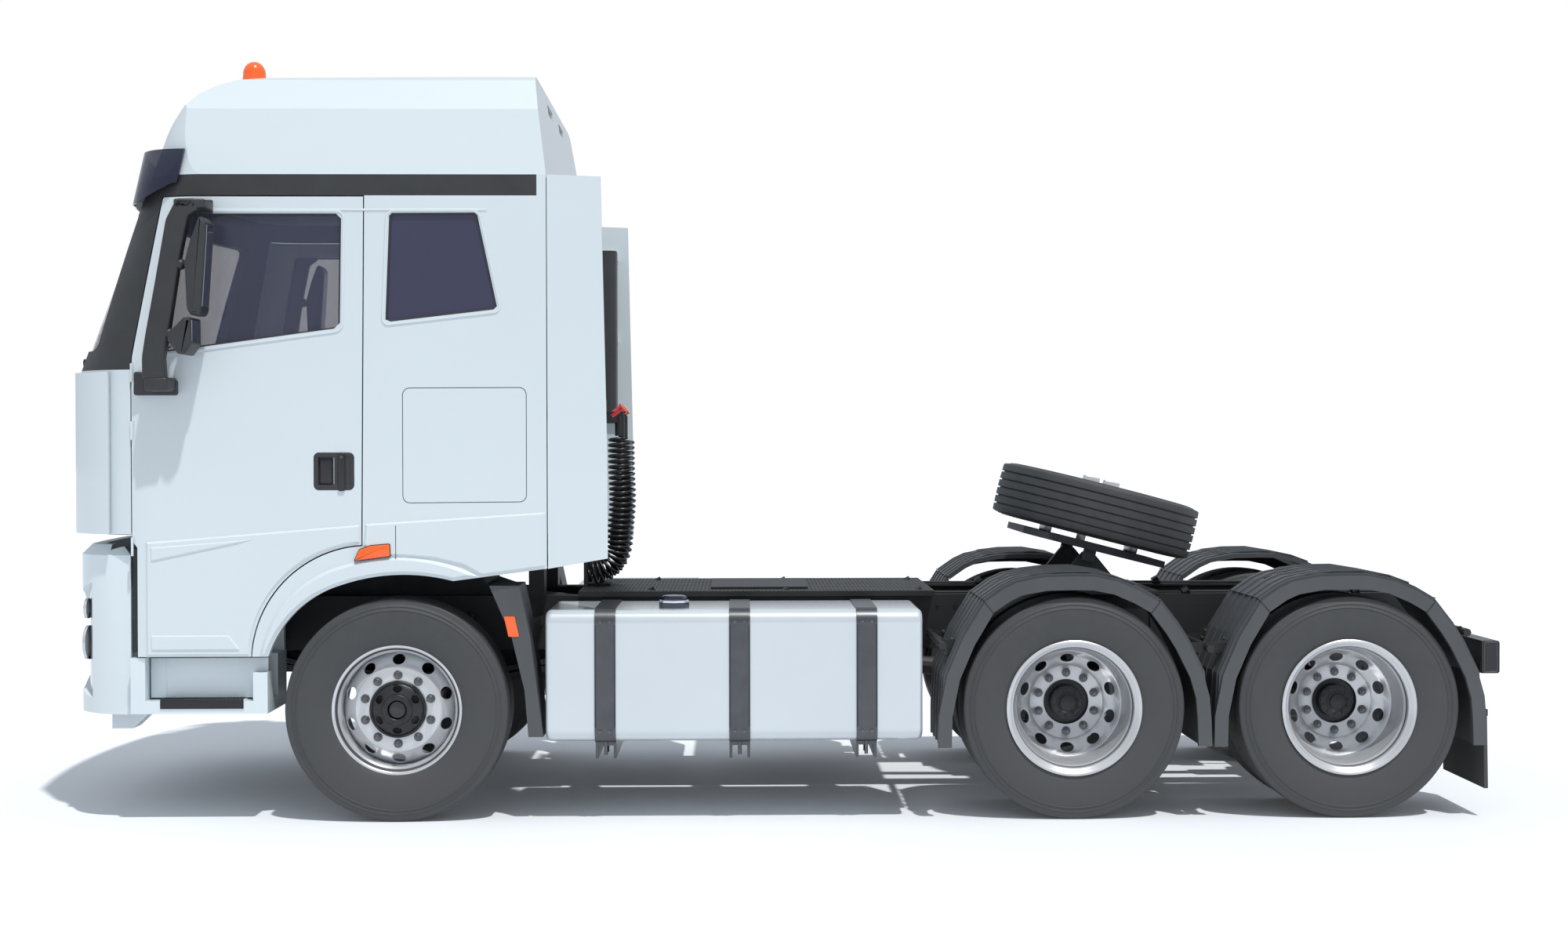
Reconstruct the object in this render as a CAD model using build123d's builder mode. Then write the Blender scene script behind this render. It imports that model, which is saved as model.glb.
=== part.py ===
from build123d import *
import math
import os

# A three-axle tractor unit with a sleeper cab, made as the pieces that a builder of trucks would bolt
# together. Millimetres. X runs rearward from the middle of the overall length, Y to the truck's right, and
# Z up from the road. The truck faces -X, so its left side is towards -Y.

os.makedirs("parts", exist_ok=True)

# ---------------------------------------------------------------------------------------------------------
# Driving dimensions
# ---------------------------------------------------------------------------------------------------------
front_overhang = 1690          # foremost skin, ahead of the front axle
rear_overhang = 5400           # tail lamps, behind the front axle
wheelbase = 3300               # front axle to middle axle
bogie_spread = 1350            # middle axle to rear axle
front_axle = (front_overhang - rear_overhang) / 2
middle_axle = front_axle + wheelbase
rear_axle = middle_axle + bogie_spread

tyre_radius = 545
tyre_width = 290
tyre_sides = 36                # flats round a tyre, one of them on the road
tyre_shoulder = 40             # bevel between tread and sidewall
rim_sides = 24
hub_height = tyre_radius
front_wheel_track = 1065       # centreline to the middle of a front tyre
outer_twin_track = 1082
inner_twin_track = 742
kingpin_track = 940

cab_half_width = 1240
wall = 45                      # thickness of doors, walls and roof
skirt_bottom = 813             # lower edge of the doors
floor_bottom = 1400
floor_top = 1440
cowl_height = 2200
band_bottom = 3038             # dark band between the cab's body and its roof
band_top = 3140
roof_rear_height = 3650
cab_rear = front_axle + 735
bow_radius = 5760              # the front skins are bowed, seen from above

rail_top = 1045
rail_height = 280
rail_outer = 430               # half of the chassis width
rail_thickness = 9
rail_flange = 84
rail_front = front_axle - 1240
rail_rear = front_axle + 5250

deck_top = 1072                # walkway behind the cab
tilt_x = front_axle - 1500     # cab's tilt pivot
tilt_z = 850
fifth_pivot_x = front_axle + 3505
fifth_pivot_z = 1238
fifth_tilt = 14.3              # how far the fifth wheel rests tipped to the rear, in degrees

gap = 6                        # shut line between neighbouring panels
beyond = cab_half_width + 60   # clear of the cab's sides
skirt_proud = 9                # how far the lower doors and skirts stand out, below their crease
flare_proud = 15               # and how far the flare over the front wheel stands out


def behind(points):
    """Turn (distance behind the front axle, height) pairs into places in the truck's frame."""
    return [(front_axle + distance, height) for distance, height in points]


def side_plate(points, low, high):
    """A plate with an outline seen from the left, from low to high millimetres left of the centreline."""
    with BuildPart() as plate:
        with BuildSketch(Plane.XZ.offset(low)):
            with BuildLine():
                Polyline(points, close=True)
            make_face()
        extrude(amount=high - low)
    return plate.part


def block(x_range, y_range, z_range):
    """A plain box between three pairs of limits."""
    with BuildPart() as box:
        middle = [(low + high) / 2 for low, high in (x_range, y_range, z_range)]
        size = [high - low for low, high in (x_range, y_range, z_range)]
        with Locations(tuple(middle)):
            Box(*size)
    return box.part


def both_sides(part):
    """A left-hand piece together with its mirror image on the right."""
    with BuildPart() as pair:
        add(part)
        mirror(about=Plane.XZ)
    return pair.part


def rod(start, end, radius, sides=0):
    """A bar from one point to another, round or with a number of flat sides."""
    axis = Vector(*end) - Vector(*start)
    with BuildPart() as bar:
        with BuildSketch(Plane(origin=start, z_dir=axis)):
            if sides:
                RegularPolygon(radius, sides)
            else:
                Circle(radius)
        extrude(amount=axis.length)
    return bar.part


def keep(part, name):
    """Label a finished piece and write it to its own file."""
    part.label = name
    export_step(part, "parts/" + name + ".step")
    return part


# ---------------------------------------------------------------------------------------------------------
# Cab skin: three outlines that cut one another, once for the outside and once for the inside
# ---------------------------------------------------------------------------------------------------------
bow_centre = front_axle - 1660 + bow_radius

# plan outlines of the cab: height, front on the middle line, front and half width where the bow turns into
# the corner, and where the corner turns into the side; all lengths behind the front axle
plan_table = [(700, -1660, -1572, 1000, -1150), (cowl_height, -1660, -1572, 1000, -1150),
              (3700, -1100, -1005, 1044, -765)]

# distance behind the front axle, and height, of the front's middle line, which cuts the roof's front edge
front_line = [(-1680, 700), (-1680, cowl_height), (-1265, 3300), (-1208, 3400), (-1150, 3480),
              (-1080, 3545), (-1000, 3590), (-900, 3622), (-750, 3638)]


def cab_plan(row, inset):
    """One plan outline of the cab, moved inward by the inset."""
    height, front, corner, corner_width, side = row
    with BuildSketch(Plane.XY.offset(height)) as plan:
        with BuildLine():
            corner_x, side_x, rear_x = front_axle + corner, front_axle + side, cab_rear + 200
            ThreePointArc((corner_x, -corner_width), (front_axle + front, 0), (corner_x, corner_width))
            TangentArc((side_x, cab_half_width), (corner_x, corner_width), tangent=(-1, 0))
            TangentArc((side_x, -cab_half_width), (corner_x, -corner_width), tangent=(-1, 0))
            Polyline((side_x, cab_half_width), (rear_x, cab_half_width), (rear_x, -cab_half_width),
                     (side_x, -cab_half_width))
        make_face()
        if inset:
            offset(amount=-inset)
    return plan.sketch


def cab_solid(inset):
    """The cab's outer form, moved inward by the inset."""
    with BuildPart() as form:
        for lower, upper in zip(plan_table, plan_table[1:]):
            loft([cab_plan(lower, inset), cab_plan(upper, inset)], ruled=True)
        # the cross-section: upright sides, a shoulder, a steeper shoulder above it and a low crown
        with BuildSketch(Plane.YZ.offset(front_axle - 2000)):
            with BuildLine():
                Polyline((-1000, roof_rear_height), (-1068, 3622), (-1176, 3465), (-cab_half_width, band_top),
                         (-cab_half_width, 700), (cab_half_width, 700), (cab_half_width, band_top),
                         (1176, 3465), (1068, 3622), (1000, roof_rear_height))
                ThreePointArc((-1000, roof_rear_height), (0, roof_rear_height + 38), (1000, roof_rear_height))
            make_face()
            if inset:
                offset(amount=-inset)
        extrude(amount=cab_rear - inset - (front_axle - 2000), mode=Mode.INTERSECT)
        # the front seen from the side, turned about the centre of the bow
        with BuildSketch(Plane.XZ):
            with BuildLine():
                Polyline((bow_centre, 3700), (bow_centre, 690), *behind(front_line), close=True)
            make_face()
            if inset:
                offset(amount=-inset)
        revolve(axis=Axis((bow_centre, 0, 0), (0, 0, 1)), mode=Mode.INTERSECT)
        # above the band the rear leans forward
        with BuildSketch(Plane.XZ.offset(-beyond)):
            with BuildLine():
                lean = [(735, band_top), (690, 3480), (650, 3760)]
                Polyline(behind([(distance - inset, height) for distance, height in lean] +
                                [(900, 3760), (900, band_top)]), close=True)
            make_face()
        extrude(amount=2 * beyond, mode=Mode.SUBTRACT)
    return form.part


outer_form = cab_solid(0)
inner_form = cab_solid(wall)
with BuildPart() as shell:
    add(outer_form)
    add(inner_form, mode=Mode.SUBTRACT)
with BuildPart() as glazing:
    add(cab_solid(14))
    add(cab_solid(20), mode=Mode.SUBTRACT)


def panel(region, *cuts, skin=shell.part):
    """The part of a skin that lies inside a region, less some cuts."""
    with BuildPart() as cut_skin:
        add(skin)
        add(region, mode=Mode.INTERSECT)
        for cut in cuts:
            add(cut, mode=Mode.SUBTRACT)
    return cut_skin.part


# Outlines of the cab's openings, seen from the left, as (distance behind the front axle, height)
pillar_foot, pillar_head = (-1261, 2264), (-1118, 3022)
door_window = [(-1100, 2284), (-992, 2935), (-975, 2951), (-275, 2951), (-250, 2926), (-258, 2424),
               (-286, 2396)]
rear_window = [(-40, 2440), (-20, 2940), (-6, 2954), (390, 2956), (405, 2944), (498, 2504), (482, 2488),
               (-14, 2430)]


def door_region(low, high):
    """Everything the door covers, from its shut line under the roof band down to the arch."""
    with BuildPart() as region:
        with BuildSketch(Plane.XZ.offset(low)):
            with BuildLine():
                Polyline(behind([(-160, 1352), (-145, band_bottom - gap), (-1112, band_bottom - gap),
                                 pillar_head,
                                 pillar_foot, (-1264, cowl_height), (-1264, 1374), (-1238, 1340),
                                 (-1238, skirt_bottom), (-694, skirt_bottom)]))
                ThreePointArc(*behind([(-694, skirt_bottom), (-538, 1176), (-160, 1352)]))
            make_face()
        extrude(amount=high - low)
    return region.part


def pane(outline, inset):
    """Everything behind a window's outline, a little smaller than its opening."""
    with BuildPart() as region:
        with BuildSketch(Plane.XZ.offset(1000)):
            with BuildLine():
                Polyline(behind(outline), close=True)
            make_face()
            if inset:
                offset(amount=-inset)
        extrude(amount=400)
    return region.part


def raised(points, height, arcs=()):
    """A panel that stands out from the left side, with sloping edges; arcs close the outline."""
    with BuildPart() as step:
        with BuildSketch(Plane.XZ.offset(cab_half_width - 1)):
            with BuildLine():
                Polyline(behind(points), close=not arcs)
                for arc in arcs:
                    ThreePointArc(*behind(arc))
            make_face()
        extrude(amount=height + 1, taper=45)
    return step.part


# Doors: skin and inner panel are one thickness, with the window cut and a recess for the handle
with BuildPart() as door:
    add(panel(door_region(900, beyond), pane(door_window, 0)))
    # the lower part stands proud below a crease, with two swages that run out towards the arch
    add(raised([(-166, 1360), (-164, 1450), (-1195, 1368), (-1195, skirt_bottom + 4),
                (-700, skirt_bottom + 4)],
               skirt_proud, arcs=[[(-700, skirt_bottom + 4), (-543, 1184), (-166, 1360)]]))
    for swage in ([(-1180, 1352), (-1180, 1262), (-520, 1402)],
                  [(-1180, 928), (-1180, 836), (-722, 836), (-790, 928)]):
        add(raised(swage, skirt_proud + 6))
    with BuildSketch(Plane.XZ.offset(cab_half_width - 18)):
        with Locations((front_axle - 290, 1708)):
            RectangleRounded(196, 182, 26)
    extrude(amount=40, mode=Mode.SUBTRACT)
    with BuildSketch(Plane.XZ.offset(cab_half_width - 18)):
        with Locations((front_axle - 262, 1712)):
            RectangleRounded(60, 150, 12)
    extrude(amount=14)
keep(door.part, "door_left")
keep(mirror(door.part, about=Plane.XZ), "door_right")

door_glass = panel(pane(door_window, 0.5), skin=glazing.part)
keep(door_glass, "door_glass_left")
keep(mirror(door_glass, about=Plane.XZ), "door_glass_right")

# Cab sides: the wall behind the door with the sleeper's window, and the arch's flare that runs forward
# under it
with BuildPart() as cab_side:
    with BuildSketch(Plane.XZ.offset(900)):
        with BuildLine():
            Polyline(behind([(-139, band_bottom), (cab_rear - front_axle + 10, band_bottom),
                             (cab_rear - front_axle + 10, 1236), (282, 1176)]))
            ThreePointArc(*behind([(282, 1176), (20, 1207), (-258, 1158)]))
            ThreePointArc(*behind([(-258, 1158), (-470, 1036), (-611, skirt_bottom)]))
            Line(*behind([(-611, skirt_bottom), (-687, skirt_bottom)]))
            ThreePointArc(*behind([(-687, skirt_bottom), (-533, 1171), (-154, 1346)]))
            Line(*behind([(-154, 1346), (-139, band_bottom)]))
        make_face()
    extrude(amount=beyond - 900)
    add(shell.part, mode=Mode.INTERSECT)
    add(block((cab_rear - wall, cab_rear + 50), (-cab_half_width + wall, cab_half_width), (700, 3700)),
        mode=Mode.SUBTRACT)
    add(pane(rear_window, 0), mode=Mode.SUBTRACT)
    # the skirt behind the door, and the flare round the arch
    add(raised([(-140, 1454), (729, 1509), (729, 1243), (420, 1202), (330, 1254), (195, 1286), (29, 1300),
                (-100, 1294), (-150, 1352)], skirt_proud))
    add(raised([(-653, skirt_bottom), (-613, skirt_bottom)], flare_proud,
               arcs=[[(-613, skirt_bottom), (-472, 1036), (-258, 1159)],
                     [(-258, 1159), (20, 1208), (282, 1177)],
                     [(282, 1177), (350, 1190), (414, 1195)], [(414, 1195), (90, 1290), (-239, 1257)],
                     [(-239, 1257), (-520, 1090), (-653, skirt_bottom)]]))
keep(both_sides(cab_side.part), "cab_sides")

rear_glass = both_sides(panel(pane(rear_window, 0.5), skin=glazing.part))
screen_low, screen_high = 2296, 2975
with BuildPart() as screen_hole:
    with BuildSketch(Plane.YZ.offset(front_axle - 1800)):
        with BuildLine():
            Polyline((-1090, screen_low), (-1040, screen_high), (1040, screen_high), (1090, screen_low),
                     close=True)
        make_face()
        fillet(vertices(), 40)
    extrude(amount=900)
with BuildPart() as glass:
    add(panel(screen_hole.part, skin=glazing.part))
    add(rear_glass)
keep(glass.part, "cab_glass")

# Front wall below the windscreen, with its corners, and the dark frame of cowl, pillars and roof band
front_wall_bottom = 1405
with BuildPart() as cab_front:
    add(panel(block((front_axle - 1800, front_axle - 1264 - gap), (-beyond, beyond),
                    (front_wall_bottom, cowl_height))))
keep(cab_front.part, "cab_front")

with BuildPart() as window_frame:
    with BuildSketch(Plane.XZ.offset(-beyond)):
        with BuildLine():
            Polyline(behind([(-1800, cowl_height), (-1270, cowl_height), (-1267, 2264), (-1124, 3026),
                             (-1120, band_bottom), (cab_rear - front_axle - wall, band_bottom),
                             (cab_rear - front_axle - wall, band_top), (-1800, band_top)]), close=True)
        make_face()
    extrude(amount=2 * beyond)
    add(shell.part, mode=Mode.INTERSECT)
    add(screen_hole.part, mode=Mode.SUBTRACT)
keep(window_frame.part, "window_frame")

with BuildPart() as cab_rear_wall:
    add(panel(block((cab_rear - wall, cab_rear + 10), (-cab_half_width + wall, cab_half_width - wall),
                    (floor_bottom, band_bottom))))
    # behind the roof band the wall reaches both sides
    add(panel(block((cab_rear - wall, cab_rear + 10), (-beyond, beyond), (band_bottom, band_top))))
keep(cab_rear_wall.part, "cab_rear_wall")

# High roof, with two ventilator pockets in its rear face
with BuildPart() as roof:
    add(panel(block((front_axle - 1800, cab_rear + 10), (-beyond, beyond), (band_top, 3800))))
    with BuildSketch(Plane.YZ.offset(front_axle + 655)):
        with Locations((-330, 3570), (330, 3570)):
            RectangleRounded(300, 56, 10)
    extrude(amount=60, mode=Mode.SUBTRACT)
keep(roof.part, "roof")

# Floor with the engine tunnel, between the walls, with the two ears that the cab tilts on
tunnel_half_width, tunnel_top = 430, 1590
floor_half_width = cab_half_width - wall - 8
ear_inner, ear_outer, pin_radius = 452, 484, 20
with BuildPart() as floor:
    add(block((front_axle - 1600, cab_rear - wall), (-floor_half_width, floor_half_width),
              (floor_bottom, floor_top)))
    add(block((front_axle - 1450, front_axle + 500), (-tunnel_half_width, tunnel_half_width),
              (floor_bottom, tunnel_top)))
    add(block((front_axle - 1405, front_axle + 455), (-tunnel_half_width + 40, tunnel_half_width - 40),
              (floor_bottom - 20, tunnel_top - 40)), mode=Mode.SUBTRACT)
    add(inner_form, mode=Mode.INTERSECT)
    add(both_sides(side_plate([(tilt_x - 40, tilt_z - 10), (tilt_x + 22, tilt_z - 35),
                               (tilt_x + 490, tilt_z + 273),
                               (tilt_x + 490, floor_bottom + 10), (tilt_x + 420, floor_bottom + 10),
                               (tilt_x + 420, tilt_z + 305), (tilt_x - 22, tilt_z + 35)], ear_inner,
                               ear_outer)))
    with BuildSketch(Plane.XZ.offset(-500)):
        with Locations((tilt_x, tilt_z)):
            Circle(pin_radius + 0.3)
    extrude(amount=1000, mode=Mode.SUBTRACT)
    # room for the doors' front edges, which swing inward a little
    add(both_sides(block((front_axle - 1300, front_axle - 1180),
                         (-floor_half_width - 1, -floor_half_width + 40),
                         (floor_bottom - 1, floor_top + 1))), mode=Mode.SUBTRACT)
    # pads under the rear corners, which rest on the chassis
    add(both_sides(block((front_axle + 560, front_axle + 660), (-480, -340),
                         (floor_bottom - 50, floor_bottom))))
keep(floor.part, "cab_floor")

# Side deflectors carry the cab's sides rearward, each on three arms from the rear wall
deflector_outline = [(739, 3140), (998, 3130), (1014, 2400), (1027, 1800), (1028, 1283), (741, 1234)]
with BuildPart() as deflector:
    add(side_plate(behind(deflector_outline), cab_half_width - 24, cab_half_width))
    for height in (2930, 2440, 1960):
        add(block((cab_rear, front_axle + 940), (-cab_half_width + 24, -cab_half_width + 50),
                  (height, height + 46)))
keep(both_sides(deflector.part), "side_deflectors")

# Dark plastic visor over the windscreen, with four stays
visor_front, visor_half_width, visor_lean = front_axle - 1435, 1236, 0.23
with BuildPart() as visor:
    with BuildSketch(Plane.XY.offset(3010)):
        with BuildLine():
            side = front_axle - 1060
            ThreePointArc((visor_front + 122, -980), (visor_front, 0), (visor_front + 122, 980))
            TangentArc((side, visor_half_width), (visor_front + 122, 980), tangent=(-1, 0))
            TangentArc((side, -visor_half_width), (visor_front + 122, -980), tangent=(-1, 0))
            Line((side, visor_half_width), (side, -visor_half_width))
        make_face()
        offset(amount=-6, mode=Mode.SUBTRACT)
    extrude(amount=260, dir=(visor_lean, 0, 1))
    add(block((side - 20, side + 200), (-visor_half_width + 20, visor_half_width - 20), (2900, 3400)),
        mode=Mode.SUBTRACT)
    add(side_plate(behind([(-1500, 2900), (-900, 2900), (-900, 3110), (-1060, 3098), (-1270, 3004),
                           (-1500, 3030)]),
                   -1300, 1300), mode=Mode.SUBTRACT)
    for stay_y, stay_front in ((-860, -1314), (-300, -1396), (300, -1396), (860, -1314)):
        add(block((front_axle + stay_front, front_axle - 1120), (stay_y - 9, stay_y + 9), (3120, 3138)))
    add(outer_form, mode=Mode.SUBTRACT)
keep(visor.part, "sun_visor")

# Beacon: a lens on a low base, on the left of the roof, as (height, radius) of its sixteen-sided rings
beacon_x, beacon_y, beacon_sides = front_axle - 786, -700, 16
beacon_rings = [(3600, 72), (3648, 72), (3660, 62), (3742, 60), (3767, 44), (3775, 20)]
with BuildPart() as beacon:
    for height, radius in beacon_rings:
        with BuildSketch(Plane(origin=(beacon_x, beacon_y, height))):
            RegularPolygon(radius, beacon_sides)
    loft(ruled=True)
    add(outer_form, mode=Mode.SUBTRACT)
keep(beacon.part, "beacon")

# Inside: dashboard with the steering wheel, two seats and a bunk
with BuildPart() as dashboard:
    with BuildSketch(Plane.XZ.offset(-1140)):
        with BuildLine():
            Polyline(behind([(-1590, 1700), (-1590, 2170), (-1380, 2230), (-1150, 2160), (-1080, 2020),
                             (-1150, 1700)]),
                     close=True)
        make_face()
    extrude(amount=2280)
    add(inner_form, mode=Mode.INTERSECT)
    column_foot = (front_axle - 1120, -620, 1950)
    column_head = (front_axle - 900, -620, 2130)
    add(rod(column_foot, column_head, 34))
    with BuildSketch(Plane(origin=column_head, z_dir=Vector(*column_head) - Vector(*column_foot))):
        Circle(230)
        Circle(198, mode=Mode.SUBTRACT)
        Rectangle(420, 40)
        Rectangle(40, 420)
    extrude(amount=26)
keep(dashboard.part, "dashboard")

seat_outline = behind([(-640, 1720), (-640, 1860), (-180, 1860), (-80, 2440), (-60, 2760), (20, 2760),
                       (20, 2440),
                       (-60, 1720)])
with BuildPart() as seats:
    for seat_middle in (620, -620):
        add(side_plate(seat_outline, seat_middle - 250, seat_middle + 250))
        add(block((front_axle - 540, front_axle - 140), (seat_middle - 140, seat_middle + 140),
                  (floor_top, 1720)))
    add(block((front_axle + 90, cab_rear - wall - 4), (-1150, 1150), (1760, 1900)))
    add(block((front_axle + 510, cab_rear - wall - 4), (-1150, 1150), (floor_top, 1760)))
keep(seats.part, "seats")

# Service flap over the upper front, proud of the wall behind it
flap_edge, flap_top, flap_clearance, flap_thickness = front_axle - 1380, cowl_height - 10, 5, 25
grille_low, grille_pitch, grille_rows, grille_depth = 1490, 105, 5, 12
with BuildPart() as grille_slots:
    for outward, mode in ((flap_clearance + flap_thickness + 10, Mode.ADD),
                          (flap_clearance + flap_thickness - grille_depth, Mode.SUBTRACT)):
        add(extrude(cab_plan((front_wall_bottom, *plan_table[0][1:]), -outward),
                    amount=flap_top - front_wall_bottom, mode=Mode.PRIVATE), mode=mode)
    with BuildSketch(Plane.YZ.offset(front_axle - 1800)):
        with Locations(*[(0, grille_low + row * grille_pitch) for row in range(grille_rows)]):
            RectangleRounded(1500, grille_pitch - 34, 18)
    extrude(amount=800, mode=Mode.INTERSECT)
with BuildPart() as flap:
    for outward, mode in ((flap_clearance + flap_thickness, Mode.ADD), (flap_clearance, Mode.SUBTRACT)):
        add(extrude(cab_plan((front_wall_bottom, *plan_table[0][1:]), -outward),
                    amount=flap_top - front_wall_bottom, mode=Mode.PRIVATE), mode=mode)
    add(block((flap_edge, cab_rear + 300), (-1400, 1400), (1000, 2400)), mode=Mode.SUBTRACT)
    add(grille_slots.part, mode=Mode.SUBTRACT)
keep(flap.part, "front_flap")

# Mirrors: a bent arm from two feet on the door, with a tall and a small mirror on ball joints
arm_outline = behind([(-905, 3004), (-995, 3004), (-1046, 2904), (-1100, 2600), (-1146, 2355), (-1162, 2250),
                      (-1160, 2150), (-1060, 2150), (-1072, 2250), (-1055, 2400), (-1000, 2740), (-965, 2920),
                      (-905, 2950)])
with BuildPart() as mirrors:
    add(side_plate(arm_outline, 1370, 1420))
    add(block((front_axle - 985, front_axle - 870), (-1420, -cab_half_width - 1), (2955, 3000)))
    add(block((front_axle - 1150, front_axle - 1040), (-1420, -cab_half_width - 1), (2090, 2160)))
    add(side_plate(behind([(-1242, 2080), (-1242, 2190), (-1200, 2190), (-1150, 2150), (-1045, 2150),
                           (-1045, 2080)]),
                   cab_half_width + 1, cab_half_width + 30))
    for reach, foot, head, depth in ((-900, 2460, 2900, 150), (-950, 2270, 2430, 190)):
        add(side_plate(behind([(reach - 20, foot), (reach - 70, foot + 90), (reach - 40, head - 90),
                               (reach + 10, head), (reach + 50, head), (reach + 50, foot)]),
                       1395 - depth / 2, 1395 + depth / 2))
    for start, end in (((-1040, 2690), (-930, 2690)), ((-1090, 2370), (-1000, 2370))):
        (start_x, start_z), (end_x, end_z) = behind([start, end])
        add(rod((start_x, -1395, start_z), (end_x, -1395, end_z), 16))
keep(mirrors.part, "mirrors_left")
keep(mirror(mirrors.part, about=Plane.XZ), "mirrors_right")

# ---------------------------------------------------------------------------------------------------------
# Chassis
# ---------------------------------------------------------------------------------------------------------
with BuildPart() as rails:
    with BuildSketch(Plane.YZ.offset(rail_front)):
        with BuildLine():
            Polyline((-rail_outer, rail_top), (-rail_outer + rail_flange, rail_top),
                     (-rail_outer + rail_flange, rail_top - rail_thickness),
                     (-rail_outer + rail_thickness, rail_top - rail_thickness),
                     (-rail_outer + rail_thickness, rail_top - rail_height + rail_thickness),
                     (-rail_outer + rail_flange, rail_top - rail_height + rail_thickness),
                     (-rail_outer + rail_flange, rail_top - rail_height),
                     (-rail_outer, rail_top - rail_height), close=True)
        make_face()
    extrude(amount=rail_rear - rail_front)
    mirror(about=Plane.XZ)
keep(rails.part, "chassis_rails")

# cross members, as distance behind the front axle, length along the truck, foot and head
cross_table = [(-1215, 60, 820, 1000), (560, 80, 830, 960), (1500, 80, 800, 980), (2500, 80, 830, 1000),
               (3975, 120, 800, 1000), (5185, 60, 800, 1010)]
web_inside = rail_outer - rail_thickness - 0.5
rest_front, rest_back, rest_top = front_axle + 560, front_axle + 660, floor_bottom - 51
with BuildPart() as cross_members:
    for distance, length, foot, head in cross_table:
        start = front_axle + distance
        add(block((start, start + length), (-web_inside, web_inside), (foot, head)))
    # brackets on the rails' front ends with the pins that the cab tilts on
    add(both_sides(side_plate([(rail_front + 90, rail_top - 20),
                               (rail_front + 90, rail_top - rail_height + 20),
                               (tilt_x + 10, tilt_z - 60), (tilt_x - 50, tilt_z - 20),
                               (tilt_x - 50, tilt_z + 40),
                               (tilt_x + 20, tilt_z + 70)], rail_outer + 1, ear_inner - 6)))
    add(both_sides(rod((tilt_x, -rail_outer + 20, tilt_z), (tilt_x, -ear_outer - 10, tilt_z), pin_radius)))
    # posts and the beam that the cab's rear rests on
    add(both_sides(block((rest_front + 10, rest_back - 10), (-475, -345), (rail_top + 0.5, rest_top))))
    add(both_sides(block((rest_front, rest_back), (-475, -345), (rest_top - 40, rest_top))))
    add(block((rest_front + 20, rest_back - 20), (-475, 475), (rest_top - 100, rest_top - 40)))
keep(cross_members.part, "cross_members")

# Engine and gearbox in one plain block, with the radiator ahead of it
with BuildPart() as engine:
    with BuildSketch(Plane.XZ.offset(-320)):
        with BuildLine():
            Polyline(behind([(-930, 640), (-930, 1180), (-860, 1230), (250, 1230), (330, 1100), (560, 1020),
                             (1130, 960), (1130, 700), (560, 660), (320, 600), (180, 560), (-500, 560),
                             (-560, 640)]), close=True)
        make_face()
    extrude(amount=640)
    add(block((front_axle + 556, front_axle + 644), (-400, 400), (826, 964)), mode=Mode.SUBTRACT)
    add(block((front_axle - 1120, front_axle - 1010), (-340, 340), (620, 1235)))
keep(engine.part, "engine")


# Front axle: a dropped beam with kingpin eyes, on two leaf springs hung from the rails
spring_y, eye_low, eye_high, eye_radius = 385, 480, 612, 46
with BuildPart() as front_axle_beam:
    with BuildSketch(Plane.YZ.offset(front_axle - 46)):
        with BuildLine():
            Polyline((-kingpin_track, eye_low + 4), (-kingpin_track + 70, eye_low + 4), (-640, 440),
                     (-560, 396),
                     (560, 396), (640, 440), (kingpin_track - 70, eye_low + 4), (kingpin_track, eye_low + 4),
                     (kingpin_track, eye_high - 4), (600, 560), (520, 492), (-520, 492), (-600, 560),
                     (-kingpin_track, eye_high - 4), close=True)
        make_face()
    extrude(amount=92)
    add(block((front_axle - 100, front_axle + 100), (-kingpin_track - 100, -kingpin_track + 30), (350, 700)),
        mode=Mode.SUBTRACT)
    add(block((front_axle - 100, front_axle + 100), (kingpin_track - 30, kingpin_track + 100), (350, 700)),
        mode=Mode.SUBTRACT)
    for side in (-kingpin_track, kingpin_track):
        add(rod((front_axle, side, eye_low), (front_axle, side, eye_high), eye_radius))
        add(rod((front_axle, side, eye_low - 1), (front_axle, side, eye_high + 1), 20.3), mode=Mode.SUBTRACT)
    leaves = side_plate(behind([(-820, 690), (-420, 590), (-60, 560), (60, 560), (420, 590), (820, 690),
                                (820, 716), (420, 632), (60, 612), (-60, 612), (-420, 632), (-820, 716)]),
                        spring_y - 40, spring_y + 40)
    add(both_sides(leaves))
    add(both_sides(block((front_axle - 70, front_axle + 70), (-spring_y - 52, -spring_y + 52), (480, 570))))
    for distance in (-850, 790):
        add(both_sides(block((front_axle + distance, front_axle + distance + 60),
                             (-spring_y - 40, -spring_y + 40), (680, rail_top - rail_height - 0.5))))
keep(front_axle_beam.part, "front_axle")

# Rear axles: housings with their differential bowls, joined by the propeller shafts
with BuildPart() as drive_axles:
    for axle_x, bowl in ((middle_axle, 215), (rear_axle, 205)):
        add(rod((axle_x, -600, hub_height), (axle_x, 600, hub_height), 76, sides=16))
        with BuildSketch(Plane.YZ.offset(axle_x - 90)):
            with Locations((0, hub_height)):
                RegularPolygon(bowl, 16)
        extrude(amount=180)
        add(rod((axle_x - 330, 0, hub_height + 60), (axle_x, 0, hub_height + 60), 88, sides=12))
    for start, end in (((front_axle + 1135, 0, 760), (middle_axle - 325, 0, hub_height + 60)),
                       ((middle_axle + 60, 0, hub_height + 60), (rear_axle - 325, 0, hub_height + 60))):
        add(rod(start, end, 48, sides=12))
keep(drive_axles.part, "drive_axles")

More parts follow.
